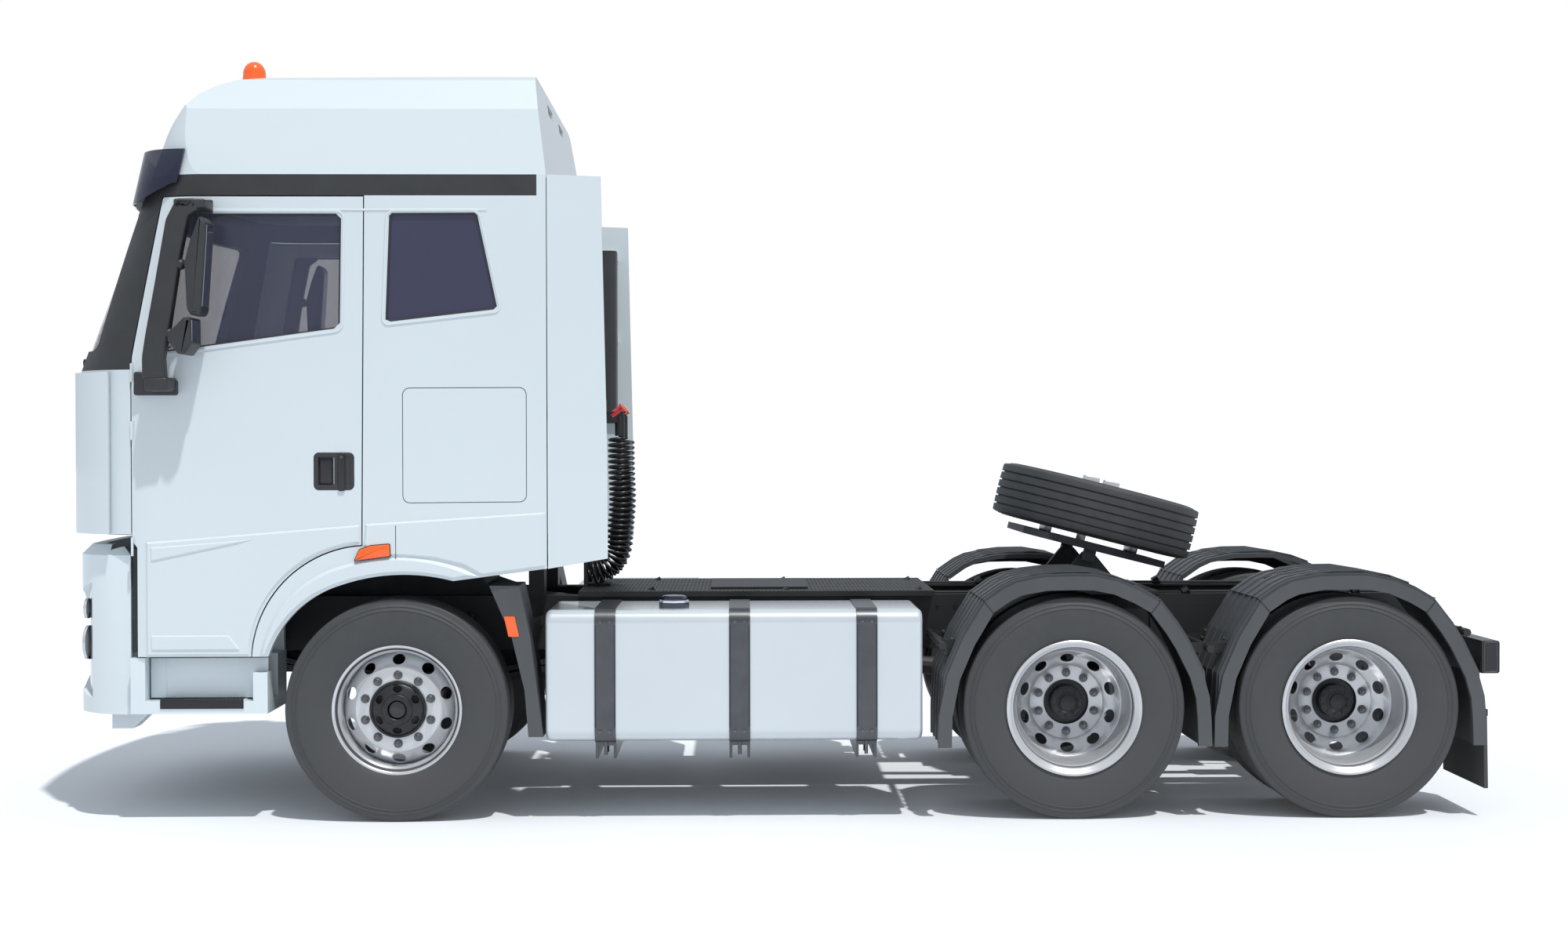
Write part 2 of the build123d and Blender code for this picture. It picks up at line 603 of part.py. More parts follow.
# Bogie: inverted leaf springs across both axles, pivoting on a trunnion under each rail
bogie_middle = (middle_axle + rear_axle) / 2
with BuildPart() as bogie:
    pack = [(-bogie_spread / 2, 640), (-300, 700), (300, 700), (bogie_spread / 2, 640),
            (bogie_spread / 2, 672),
            (300, 752), (-300, 752), (-bogie_spread / 2, 672)]
    add(both_sides(side_plate([(bogie_middle + along, height) for along, height in pack], 440, 530)))
    for axle_x in (middle_axle, rear_axle):
        add(both_sides(block((axle_x - 70, axle_x + 70), (-540, -430), (622, 645))))
    add(both_sides(side_plate([(bogie_middle - 90, 700), (bogie_middle - 150, 440), (bogie_middle + 150, 440),
                               (bogie_middle + 90, 700)], 436, 470)))
    add(rod((bogie_middle, -560, 488), (bogie_middle, 560, 488), 55, sides=16))
    add(both_sides(side_plate([(bogie_middle - 160, 1000), (bogie_middle - 120, 440),
                               (bogie_middle + 120, 440),
                               (bogie_middle + 160, 1000)], rail_outer + 0.5, rail_outer + 10)))
keep(bogie.part, "bogie_springs")

# Fuel tank on the left, with three straps and their brackets
tank_front, tank_back = front_axle + 722, front_axle + 2560
tank_low, tank_high, tank_inner, tank_outer = 388, 1030, 560, 1220
with BuildPart() as tank:
    add(block((tank_front, tank_back), (-tank_outer, -tank_inner), (tank_low, tank_high)))
    fillet(tank.edges().filter_by(Axis.X), 62)
    fillet(tank.faces().sort_by(Axis.X)[0].edges() + tank.faces().sort_by(Axis.X)[-1].edges(), 30)
    with BuildSketch(Plane.XY.offset(tank_high - 4)):
        with Locations((front_axle + 1345, -1084)):
            RegularPolygon(72, 8)
    extrude(amount=44)
keep(tank.part, "fuel_tank")

strap_width, strap_gap = 102, 0.6
with BuildPart() as straps:
    for distance in (962, 1616, 2236):
        with BuildSketch(Plane.YZ.offset(front_axle + distance)):
            with Locations((-(tank_outer + tank_inner) / 2, (tank_low + tank_high) / 2)):
                RectangleRounded(tank_outer - tank_inner + 14, tank_high - tank_low + 14, 68)
                RectangleRounded(tank_outer - tank_inner + 2 * strap_gap,
                                 tank_high - tank_low + 2 * strap_gap,
                                 62.6, mode=Mode.SUBTRACT)
        extrude(amount=strap_width)
        start = front_axle + distance
        add(side_plate([(start, 384), (start, 300), (start + 14, 300), (start + 14, 362),
                        (start + strap_width - 14, 362), (start + strap_width - 14, 300),
                        (start + strap_width, 300), (start + strap_width, 384)], 500, 1150))
        add(block((start, start + strap_width), (-tank_inner + 8, -rail_outer - 1), (360, 1000)))
keep(straps.part, "tank_straps")

# Right-hand side: pale silencer box, then the battery box with air tanks under the rail
with BuildPart() as silencer:
    add(block((front_axle + 745, front_axle + 1420), (500, 1215), (420, 1035)))
    fillet(silencer.edges().filter_by(Axis.X), 50)
    add(block((front_axle + 850, front_axle + 1300), (rail_outer + 1, 520), (700, 960)))
keep(silencer.part, "silencer_box")

with BuildPart() as batteries:
    add(block((front_axle + 1600, front_axle + 2420), (560, 1200), (640, 1000)))
    fillet(batteries.edges().filter_by(Axis.X), 16)
    add(block((front_axle + 1640, front_axle + 2380), (rail_outer + 1, 580), (700, 980)))
    for tank_y in (700, 980):
        add(rod((front_axle + 1560, tank_y, 520), (front_axle + 2440, tank_y, 520), 122, sides=18))
keep(batteries.part, "battery_box")

# Steps under the doors: an open well with a tread in each
step_low, step_high = 535, 806
with BuildPart() as steps:
    well_front, well_back = front_axle - 1276, front_axle - 617
    add(block((well_front, well_back), (-1226, -800), (step_low, step_high)))
    add(block((well_front + 70, well_back + 1), (-1300, -1000), (step_low + 62, step_high + 1)),
        mode=Mode.SUBTRACT)
    add(block((well_back - 70, well_back), (-1226, -1100), (step_low, 735)))
    add(block((well_front + 141, well_back - 114), (-1229, -1010), (step_low + 21, step_low + 66)))
    add(block((well_front + 40, well_back), (-1150, -820), (1060, 1100)))
    add(block((well_front + 40, well_back), (-860, -820), (step_high - 2, 1100)))
    add(block((well_front + 160, well_back - 100), (-830, -rail_outer - 1), (780, 860)))
keep(both_sides(steps.part), "step_wells")

# Bumper: bowed, with corners that run back beside the doors, and its sloping upper edge
bumper_low, bumper_crease, bumper_top, bumper_wall = 526, 1300, 1350, 60
lamp_recess, lamp_depth = 34, 52


def bumper_plan(height, outward):
    """The bumper's outline seen from above, moved outward."""
    with BuildSketch(Plane.XY.offset(height)) as plan:
        with BuildLine():
            ThreePointArc((front_axle - 1586, -960), (front_axle - 1650, 0), (front_axle - 1586, 960))
            TangentArc((front_axle - 1290, 1166), (front_axle - 1586, 960), tangent=(-1, 0))
            TangentArc((front_axle - 1290, -1166), (front_axle - 1586, -960), tangent=(-1, 0))
            Line((front_axle - 1290, 1166), (front_axle - 1290, -1166))
        make_face()
        if outward:
            offset(amount=outward)
    return plan.sketch


def bumper_form(outward):
    """The solid inside the bumper's outer surface below its crease, moved outward."""
    return extrude(bumper_plan(bumper_low, outward), amount=bumper_crease - bumper_low)


def bumper_shelf(outward):
    """The solid above the crease, which slopes in as much as it rises."""
    slope = bumper_top - bumper_crease
    with BuildPart() as shelf:
        loft([bumper_plan(bumper_crease, outward), bumper_plan(bumper_top, outward - slope)], ruled=True)
    return shelf.part


def lamp_window(margin):
    """The headlamps' openings, seen from the front, cut back by a margin; they run round the corners."""
    with BuildPart() as window:
        with BuildSketch(Plane.YZ.offset(front_axle - 1700)):
            with BuildLine():
                Polyline((-1085 + margin, 600 + margin), (-900, 640 + margin), (-690 - margin, 705 + margin),
                         (-650 - margin, 760), (-650 - margin, 900 - margin), (-900, 1100 - margin),
                         (-1085 + margin, 1165 - margin), close=True)
            make_face()
            mirror(about=Plane.YZ)
        extrude(amount=280)
    return window.part


with BuildPart() as lamp_pockets:
    add(bumper_form(10))
    add(bumper_form(-lamp_depth), mode=Mode.SUBTRACT)
    add(lamp_window(0), mode=Mode.INTERSECT)
with BuildPart() as headlamps:
    add(bumper_form(-lamp_recess))
    add(bumper_form(-lamp_depth), mode=Mode.SUBTRACT)
    add(lamp_window(1), mode=Mode.INTERSECT)
keep(headlamps.part, "headlamps")

arm_inner, arm_outer, tow_y, tow_z, tow_radius = 350, 420, 890, 478, 20
tow_front, tow_back, tow_half_width = front_axle - 1444, front_axle - 1340, 70
with BuildPart() as bumper:
    add(bumper_form(0))
    add(bumper_shelf(0))
    add(bumper_form(-bumper_wall), mode=Mode.SUBTRACT)
    add(bumper_shelf(-bumper_wall), mode=Mode.SUBTRACT)
    add(block((front_axle - 1400, front_axle - 1200), (-1120, 1120), (300, 1400)), mode=Mode.SUBTRACT)
    # arms to the rails' front ends, and a beam from each arm to the square block of the towing eye
    add(both_sides(block((front_axle - 1612, rail_front + 90), (-arm_outer, -arm_inner),
                         (660, rail_top - rail_height - 1))))
    add(both_sides(block((tow_front, tow_front + 70), (-tow_y - tow_half_width, -arm_inner), (598, 700))))
    add(both_sides(side_plate([(tow_front, tow_z - 47), (tow_back, tow_z - 47), (tow_back + 99, tow_z + 48),
                               (tow_back + 50, tow_z + 52), (tow_back + 50, 600), (tow_front, 600)],
                              tow_y - tow_half_width, tow_y + tow_half_width)))
    add(both_sides(rod((tow_front - 10, -tow_y, tow_z), (tow_back + 200, -tow_y, tow_z), tow_radius)),
        mode=Mode.SUBTRACT)
    # a slot behind the block, where the pin comes out between the gusset's two flanges
    add(both_sides(block((tow_back, tow_back + 110), (-tow_y - 34, -tow_y + 34), (tow_z - 60, tow_z + 50))),
        mode=Mode.SUBTRACT)
    add(lamp_pockets.part, mode=Mode.SUBTRACT)
keep(bumper.part, "bumper")

# Mudguards behind the front wheels, hung from the rails
with BuildPart() as mudguard:
    add(side_plate(behind([(452, 1150), (596, 1150), (650, 900), (712, 414), (640, 414), (622, 640),
                           (560, 900)]),
                   900, 1212))
    add(side_plate(behind([(470, 1130), (560, 1130), (626, 900), (690, 414), (662, 414), (643, 640),
                           (582, 900)]),
                   880, 1160), mode=Mode.SUBTRACT)
    add(block((front_axle + 606, front_axle + 640), (-905, -rail_outer - 1), (900, 940)))
keep(both_sides(mudguard.part), "front_mudguards")

# Fenders over the rear wheels, each in three sections: outer and inner lines seen from the left,
# as (distance from the axle, height)
fender_inner, fender_outer, flange_thickness = 600, 1240, 26
sheet_depth, sheet_rise, flange_depth, sheet_reach = 12, 14, 66, 634
rib_places, rib_width, rib_height = (660, 790, 920, 1050, 1150), 34, 6
fender_sections = {
    "front": [(-667, 356), (-664, 506), (-625, 706), (-546, 890), (-440, 1062)],
    "crown": [(-438, 1065), (-345, 1130), (-280, 1160), (-147, 1185), (0, 1189), (100, 1187), (215, 1163),
              (325, 1115), (413, 1063)],
    "rear": [(416, 1059), (500, 950), (552, 868), (628, 712), (659, 600), (668, 490), (672, 358)],
}


def inward(points, depth):
    """Points moved towards the axle, or level where they are below it."""
    moved = []
    for x, z in points:
        rise = max(z - hub_height, 0)
        share = depth / math.hypot(x, rise)
        moved.append((x * (1 - share), z - rise * share))
    return moved


def band(points, near, far, low, high):
    """A curved sheet between two depths, over an axle at x = 0, from low to high millimetres to the left."""
    return side_plate(inward(points, near) + inward(points, far)[::-1], low, high)


def fender_section(points):
    """A curved sheet with ribs round its outside and a flange hanging from its outer edge."""
    sheet = [(max(-sheet_reach, min(x, sheet_reach)), z) for x, z in points]
    with BuildPart() as section:
        add(band(sheet, -sheet_rise, sheet_depth, fender_inner, fender_outer - flange_thickness))
        add(band(points, 0, flange_depth, fender_outer - flange_thickness, fender_outer))
        for rib in rib_places:
            add(band(sheet, -sheet_rise - rib_height, 0, rib, rib + rib_width))
    return section.part


sections = [fender_section(points) for points in fender_sections.values()]
with BuildPart() as fenders:
    for section in sections:
        for axle_x in (middle_axle, rear_axle):
            add(Pos(axle_x, 0, 0) * section)
    mirror(about=Plane.XZ)
keep(fenders.part, "rear_fenders")

# Tubes from the rails, with plates that reach the fenders' outsides
def fender_face(ends, height):
    """How far from its axle a fender's sloping outside is at a height, between two of its points."""
    (low_x, low_z), (high_x, high_z) = inward(ends, -sheet_rise)
    return low_x + (high_x - low_x) * (height - low_z) / (high_z - low_z)


front_slope, rear_line = fender_sections["front"][2:4], fender_sections["rear"]
rear_slope, rear_upper_slope = rear_line[3:1:-1], rear_line[2:0:-1]
bar_table = [(middle_axle - 640, 850, middle_axle, front_slope), (bogie_middle, 830, middle_axle, rear_slope),
             (bogie_middle, 830, rear_axle, front_slope),
             (rear_axle + 590, 906, rear_axle, rear_upper_slope)]
with BuildPart() as brackets:
    for bar_x, bar_z, axle_x, slope in bar_table:
        add(rod((bar_x, -rail_outer - 11, bar_z), (bar_x, -1190, bar_z), 20, sides=8))
        low, high = bar_z - 24, bar_z + 24
        for plate_y in (634, 1100):
            add(side_plate([(bar_x, low), (bar_x, high), (axle_x + fender_face(slope, high), high),
                            (axle_x + fender_face(slope, low), low)], plate_y, plate_y + 12))
    mirror(about=Plane.XZ)
keep(brackets.part, "fender_brackets")

# Mudflaps behind the rear fenders, and under the rails' ends the beam that carries them and the tail lamps
beam_low, beam_high = 700, rail_top - rail_height - 0.5
with BuildPart() as mudflap:
    add(side_plate(behind([(5314, 500), (5332, 500), (5338, 142), (5320, 142)]), 600, 1208))
    add(block((front_axle + 5308, front_axle + 5336), (-1208, -560), (498, 530)))
    add(block((front_axle + 5200, front_axle + 5310), (-598, -560), (505, 525)))
    add(block((front_axle + 5200, front_axle + 5236), (-598, -560), (505, beam_low - 0.5)))
keep(both_sides(mudflap.part), "mudflaps")

with BuildPart() as lamps:
    add(block((front_axle + 5180, front_axle + 5242), (-598, 598), (beam_low, beam_high)))
    add(both_sides(block((front_axle + 5242, front_axle + 5310), (-500, -420), (beam_low + 6, beam_high))))
    add(block((front_axle + 5308, front_axle + 5340), (-1180, 1180), (beam_low + 6, beam_high)))
    add(both_sides(block((front_axle + 5312, front_axle + rear_overhang), (-1190, -790), (705, 865))))
    fillet(lamps.edges().filter_by(Axis.Y).group_by(Axis.X)[-1], 12)
keep(lamps.part, "tail_lamps")

# Walkway on the rails behind the cab, with a raised cover over the gearbox
with BuildPart() as catwalk:
    add(block((front_axle + 830, front_axle + 2680), (-520, 520), (rail_top + 0.5, deck_top)))
    add(block((front_axle + 1515, front_axle + 2025), (-360, 360), (deck_top, 1083)))
keep(catwalk.part, "catwalk")

# Fifth wheel: base with two pivot ears, and the tipping plate with its kingpin slot
with BuildPart() as fifth_base:
    add(block((fifth_pivot_x - 360, fifth_pivot_x + 360), (-rail_outer - 30, rail_outer + 30),
              (rail_top + 0.5, rail_top + 18)))
    ear = side_plate([(fifth_pivot_x - 190, rail_top + 18), (fifth_pivot_x - 50, 1236),
                      (fifth_pivot_x - 24, 1264),
                      (fifth_pivot_x + 24, 1264), (fifth_pivot_x + 50, 1236),
                      (fifth_pivot_x + 190, rail_top + 18)],
                     330, 366)
    add(both_sides(ear))
    with BuildSketch(Plane.XZ.offset(-500)):
        with Locations((fifth_pivot_x, fifth_pivot_z)):
            Circle(20.3)
    extrude(amount=1000, mode=Mode.SUBTRACT)
keep(fifth_base.part, "fifth_wheel_base")

plate_rise = 74                # pivot to the plate's upper face
fifth_plane = Plane(origin=(fifth_pivot_x, 0, fifth_pivot_z), x_dir=(math.cos(math.radians(fifth_tilt)), 0,
                    -math.sin(math.radians(fifth_tilt))),
                    z_dir=(math.sin(math.radians(fifth_tilt)), 0, math.cos(math.radians(fifth_tilt))))
with BuildPart() as fifth_plate:
    with BuildSketch(fifth_plane.offset(plate_rise - 36)):
        with BuildLine():
            Polyline((-360, -330), (-300, -440), (120, -440), (420, -300), (420, -70), (160, -34), (160, 34),
                     (420, 70), (420, 300), (120, 440), (-300, 440), (-360, 330), close=True)
        make_face()
    extrude(amount=36)
    with BuildSketch(fifth_plane.offset(plate_rise - 36)):
        Circle(27)
    extrude(amount=36, mode=Mode.SUBTRACT)
    # lugs outside the base's ears, with their pins
    for lug_y in (-387, 387):
        with BuildSketch(fifth_plane.offset(-24)):
            with Locations((0, lug_y)):
                Rectangle(64, 28)
        extrude(amount=24 + plate_rise - 30)
    add(both_sides(rod((fifth_pivot_x, -400, fifth_pivot_z), (fifth_pivot_x, -322, fifth_pivot_z), 20)))
keep(fifth_plate.part, "fifth_wheel_plate")


def tyre_solid(plane):
    """A tyre about a plane's middle: flat tread, bevelled shoulders and a hole for its rim."""
    with BuildPart() as tyre:
        with BuildSketch(plane.offset(-tyre_width / 2)):
            RegularPolygon(tyre_radius, tyre_sides, major_radius=False, rotation=180 / tyre_sides)
        extrude(amount=tyre_width)
        sidewalls = tyre.faces().sort_by(Axis(plane.origin, plane.z_dir))
        chamfer(sidewalls[0].edges() + sidewalls[-1].edges(), tyre_shoulder)
        # the bore, wider at its outer end where the rim's flange sits
        for start, length, radius in ((-tyre_width / 2, tyre_width, rim_seat + 1),
                                      (tyre_width / 2 - 28.5, 28.5, rim_seat + 28)):
            with BuildSketch(plane.offset(start)):
                RegularPolygon(radius, rim_sides, major_radius=False)
            extrude(amount=length, mode=Mode.SUBTRACT)
    return tyre.part


def rim_solid(plane, disc_at, disc_bore, hole_circle):
    """A disc wheel about a plane's middle; distances along the plane's normal are towards the outside."""
    with BuildPart() as rim:
        for start, length, outer in ((-rim_width / 2, rim_width + 1, rim_seat),
                                     (tyre_width / 2 - 28, 12, rim_seat + 27)):
            with BuildSketch(plane.offset(start)):
                RegularPolygon(outer, rim_sides, major_radius=False)
                RegularPolygon(rim_seat - 14, rim_sides, major_radius=False, mode=Mode.SUBTRACT)
            extrude(amount=length)
        with BuildSketch(plane.offset(disc_at)):
            RegularPolygon(rim_seat - 13, rim_sides, major_radius=False)
            Circle(disc_bore, mode=Mode.SUBTRACT)
            with PolarLocations(hole_circle, 10, start_angle=90):
                RegularPolygon(33, 6, mode=Mode.SUBTRACT)
        extrude(amount=14)
    return rim.part


def drum(plane, start, end, radius, bore=0):
    """A hub or brake drum between two distances from a plane's middle."""
    with BuildPart() as body:
        with BuildSketch(plane.offset(start)):
            RegularPolygon(radius, 16)
            if bore:
                Circle(bore, mode=Mode.SUBTRACT)
        extrude(amount=end - start)
    return body.part


def wheel_plane(wheel_x, distance):
    """A plane through the middle of a left-hand wheel, looking outward from the truck."""
    return Plane(origin=(wheel_x, -distance, hub_height), x_dir=(1, 0, 0), z_dir=(0, -1, 0))


rim_seat, rim_width = 291, 232

# Steering knuckle: a fork about the axle's eye, with its kingpin, face plate and spindle
knuckle_face = kingpin_track + eye_radius + 6
with BuildPart() as knuckle:
    add(rod((front_axle, -kingpin_track, eye_low - 46), (front_axle, -kingpin_track, eye_high + 46), 20))
    for low in (eye_low - 46, eye_high + 6):
        add(rod((front_axle, -kingpin_track, low), (front_axle, -kingpin_track, low + 40), 44, sides=16))
        add(block((front_axle - 38, front_axle + 38), (-knuckle_face - 1, -kingpin_track), (low, low + 40)))
    add(block((front_axle - 60, front_axle + 60), (-knuckle_face - 20, -knuckle_face),
              (eye_low - 46, eye_high + 46)))
    add(rod((front_axle, -knuckle_face - 10, hub_height), (front_axle, -1140, hub_height), 38))
keep(knuckle.part, "knuckle_left")
keep(mirror(knuckle.part, about=Plane.XZ), "knuckle_right")

# Front wheels
front_plane = wheel_plane(front_axle, front_wheel_track)
front_tyre = tyre_solid(front_plane)
with BuildPart() as front_rim:
    add(rim_solid(front_plane, 88, 128, 246))
    # hub with its cap, and the brake drum behind the disc
    add(drum(front_plane, -45, 80, 140, bore=38.3))
    add(drum(front_plane, 80, 108, 140))
    add(drum(front_plane, 108, 122, 78))
    add(drum(front_plane, -45, 20, 205, bore=38.3))
for side_name, tyre, rim in (("left", front_tyre, front_rim.part),
                             ("right", mirror(front_tyre, about=Plane.XZ),
                              mirror(front_rim.part, about=Plane.XZ))):
    keep(tyre, "front_tyre_" + side_name)
    keep(rim, "front_rim_" + side_name)

# Twin wheels of the two rear axles
outer_plane, inner_plane = (wheel_plane(middle_axle, distance) for distance in (outer_twin_track,
                                                                                inner_twin_track))
with BuildPart() as twin_tyres:
    add(tyre_solid(outer_plane))
    add(tyre_solid(inner_plane))
with BuildPart() as twin_rims:
    add(rim_solid(outer_plane, -158, 100, 224))
    add(drum(outer_plane, -180, 40, 84))
    # axle end, turned round
    with BuildSketch(outer_plane.offset(40)):
        Circle(48)
    extrude(amount=24)
    with BuildSketch(inner_plane.offset(-rim_width / 2)):
        RegularPolygon(rim_seat, rim_sides, major_radius=False)
        RegularPolygon(rim_seat - 14, rim_sides, major_radius=False, mode=Mode.SUBTRACT)
    extrude(amount=rim_width)
    with BuildSketch(inner_plane.offset(102)):
        RegularPolygon(rim_seat - 13, rim_sides, major_radius=False)
    extrude(amount=80)
    add(drum(inner_plane, -130, 110, 205))
for axle_name, axle_shift in (("middle", 0), ("rear", bogie_spread)):
    tyres, rims = (Pos(axle_shift, 0, 0) * wheels for wheels in (twin_tyres.part, twin_rims.part))
    keep(tyres, axle_name + "_tyres_left")
    keep(rims, axle_name + "_rims_left")
    keep(mirror(tyres, about=Plane.XZ), axle_name + "_tyres_right")
    keep(mirror(rims, about=Plane.XZ), axle_name + "_rims_right")

# Spare wheel strapped face down on the fifth wheel: a bar across its disc with a screw down through the plate
spare_middle = plate_rise + 30 + tyre_width / 2
spare_plane = Plane(origin=fifth_plane.from_local_coords((40, 0, spare_middle)), x_dir=fifth_plane.x_dir,
                    z_dir=fifth_plane.z_dir)
keep(tyre_solid(spare_plane), "spare_tyre")
with BuildPart() as spare_rim:
    add(rim_solid(spare_plane, 60, 140, 246))
    with BuildSketch(spare_plane.offset(74)):
        Rectangle(330, 70)
    extrude(amount=40)
    with BuildSketch(fifth_plane.offset(plate_rise - 60)):
        Circle(25)
    extrude(amount=spare_middle + 150 - plate_rise + 60)
    for tab in (-62, 50):
        with BuildSketch(spare_plane.offset(114)):
            with Locations((tab, 0)):
                Rectangle(86, 60)
        extrude(amount=62)
    for pad in (-240, 240):
        with BuildSketch(spare_plane.offset(plate_rise + 0.5 - spare_middle)):
            with Locations((pad, 0)):
                Rectangle(40, 200)
        extrude(amount=58)
keep(spare_rim.part, "spare_rim")

# Post behind the cab with the trailer couplings, and the two coiled hoses parked on it
hose_radius, hose_y, hose_sides = 66, 150, 12
# the hoses' route, as (distance behind the front axle, height)
hose_route = [(1026, 1880), (1026, 1706), (1036, 1530), (1020, 1362), (1012, 1252), (975, 1180), (912, 1150),
              (850, 1150)]
post_x, hose_x, hose_end = front_axle + 900, front_axle + hose_route[0][0], front_axle + hose_route[-1][0]
hose_top, hose_low = hose_route[0][1], hose_route[-1][1]
with BuildPart() as hose_stand:
    add(block((post_x - 25, post_x + 25), (-25, 25), (deck_top + 0.5, 2080)))
    add(block((post_x - 70, post_x + 70), (-70, 70), (deck_top + 0.5, deck_top + 12)))
    add(block((post_x + 20, post_x + 32), (-240, 240), (1900, 2080)))
    for coupling_y in (-hose_y, hose_y):
        add(block((post_x + 30, hose_x + 20), (coupling_y - 22, coupling_y + 22), (1950, 2010)))
        add(rod((hose_x, coupling_y, hose_top), (hose_x, coupling_y, 1990), 26, sides=12))
        # foot valve on the walkway's front edge, where the hose ends
        add(block((hose_end - 14, hose_end), (coupling_y - 68, coupling_y + 68),
                  (deck_top + 0.5, hose_low + 68)))
keep(hose_stand.part, "hose_stand")

route = [Vector(x, 0, z) for x, z in behind(hose_route)]
runs = [after - before for before, after in zip(route, route[1:])]
radii = []
for run, following in zip(runs, runs[1:]):
    half_turn = math.radians(run.get_angle(following)) / 2
    radii.append(0.45 * min(run.length, following.length) / math.tan(half_turn))
with BuildPart() as hose:
    with BuildLine(Plane.XY) as path:
        FilletPolyline(*route, radius=radii)
    with BuildSketch(Plane(origin=route[0], z_dir=(0, 0, -1))) as section:
        RegularPolygon(hose_radius, hose_sides, major_radius=False)
    sweep()
print("hose radii", [round(radius) for radius in radii], "path", round(path.wires()[0].length), "volume",
      round(hose.part.volume), "section times length", round(section.sketch.area * path.wires()[0].length))
keep(Pos(0, -hose_y, 0) * hose.part, "hose_left")
keep(Pos(0, hose_y, 0) * hose.part, "hose_right")

# Intake duct up the cab's rear wall on the right
with BuildPart() as intake:
    add(block((cab_rear + 1, front_axle + 950), (830, 1010), (1960, 2960)))
    fillet(intake.edges().filter_by(Axis.Z), 40)
keep(intake.part, "intake_duct")
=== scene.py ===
# %% [markdown]
# # A tractor unit, dressed for the studio
# The solid model already holds every panel, wheel and bracket at its real size. This lesson gives it its
# surface: paint, glass, rubber and cast metal, and the small things that a solid model leaves out.
# Loading comes first, because every later piece takes its place from the solids.

# %% Load the truck and keep its box
import math

import bmesh
import bpy
from mathutils import Matrix, Vector


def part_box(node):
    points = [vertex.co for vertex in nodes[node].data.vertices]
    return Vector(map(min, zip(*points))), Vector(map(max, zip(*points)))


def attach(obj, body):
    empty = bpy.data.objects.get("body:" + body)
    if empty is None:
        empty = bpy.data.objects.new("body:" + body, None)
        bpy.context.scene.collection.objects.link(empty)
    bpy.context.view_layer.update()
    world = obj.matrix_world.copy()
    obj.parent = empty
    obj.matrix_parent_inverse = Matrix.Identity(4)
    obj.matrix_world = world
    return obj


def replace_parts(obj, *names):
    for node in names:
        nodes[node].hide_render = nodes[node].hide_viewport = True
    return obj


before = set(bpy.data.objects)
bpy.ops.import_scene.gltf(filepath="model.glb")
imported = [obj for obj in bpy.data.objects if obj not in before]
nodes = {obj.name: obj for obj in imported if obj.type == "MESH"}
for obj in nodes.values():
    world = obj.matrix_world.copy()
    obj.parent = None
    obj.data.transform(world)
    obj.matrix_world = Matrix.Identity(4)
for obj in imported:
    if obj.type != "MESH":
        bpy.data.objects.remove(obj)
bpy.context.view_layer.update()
low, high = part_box("front_tyre_left")
tyre_radius = (high.z - low.z) / 2
front_axle = (low.x + high.x) / 2
print("tyre radius", round(tyre_radius, 3), "front axle at", round(front_axle, 3))

# %% [markdown]
# ## Camera
# The truck is seen square from its left, from eleven metres away and about the height of its door handles.
# A normal lens at that distance keeps the far wheels just in sight behind the near ones. The camera could be
# aimed with a constraint, but three plain turns are easier to read and never change.

# %% Camera
camera_data = bpy.data.cameras.new("camera")
camera_data.sensor_width = 36
camera_data.lens = 48.35
camera = bpy.data.objects.new("camera", camera_data)
bpy.context.scene.collection.objects.link(camera)
camera_yaw, camera_pitch, camera_roll = math.radians(1.146), math.radians(0.792), math.radians(-0.087)
camera.matrix_world = (
    Matrix.Translation((front_axle + 1.6795, -11.4497, 1.8491))
    @ Matrix.Rotation(-camera_yaw, 4, "Z")
    @ Matrix.Rotation(math.pi / 2 - camera_pitch, 4, "X")
    @ Matrix.Rotation(camera_roll, 4, "Z")
)
bpy.context.scene.camera = camera

# %% [markdown]
# ## Light and floor
# A white studio floor, a sun that stands high on the camera's side, and an even pale sky. The floor shows
# white to the camera and to mirrors, but it still takes the truck's shadow: its own shading is kept and only
# lifted a little. More light would also make the floor white, but it would bleach the paint.

# %% Sun, sky and floor
sun_data = bpy.data.lights.new("sun", "SUN")
sun_data.energy = 2.6
sun_data.angle = math.radians(1.5)
sun_data.color = (1.0, 0.985, 0.96)
sun = bpy.data.objects.new("sun", sun_data)
sun.rotation_euler = Vector((0.21, -0.39, 1.0)).to_track_quat("Z", "Y").to_euler()
bpy.context.scene.collection.objects.link(sun)



def put(node, **values):
    """Set a node's own inputs, an underscore standing for the space in a name."""
    for socket, value in values.items():
        node.inputs[socket.replace("_", " ")].default_value = value


world = bpy.data.worlds.new("studio")
bpy.context.scene.world = world
world.use_nodes = True
sky = world.node_tree.nodes
background = sky["Background"]
put(background, Color=(0.86, 0.92, 1.0, 1), Strength=0.62)
white = sky.new("ShaderNodeBackground")
put(white, Color=(1, 1, 1, 1))
ray = sky.new("ShaderNodeLightPath")
seen = sky.new("ShaderNodeMath")
seen.operation = "MAXIMUM"
choose = sky.new("ShaderNodeMixShader")
for start, end in (
    (ray.outputs["Is Camera Ray"], seen.inputs[0]),
    (ray.outputs["Is Transmission Ray"], seen.inputs[1]),
    (seen.outputs[0], choose.inputs["Fac"]),
    (background.outputs[0], choose.inputs[1]),
    (white.outputs[0], choose.inputs[2]),
    (choose.outputs[0], sky["World Output"].inputs["Surface"]),
):
    world.node_tree.links.new(start, end)


def link_mesh(bm, name):
    """Turn a finished bmesh into an object that stands at the origin."""
    mesh = bpy.data.meshes.new(name)
    bm.to_mesh(mesh)
    bm.free()
    obj = bpy.data.objects.new(name, mesh)
    bpy.context.scene.collection.objects.link(obj)
    return obj


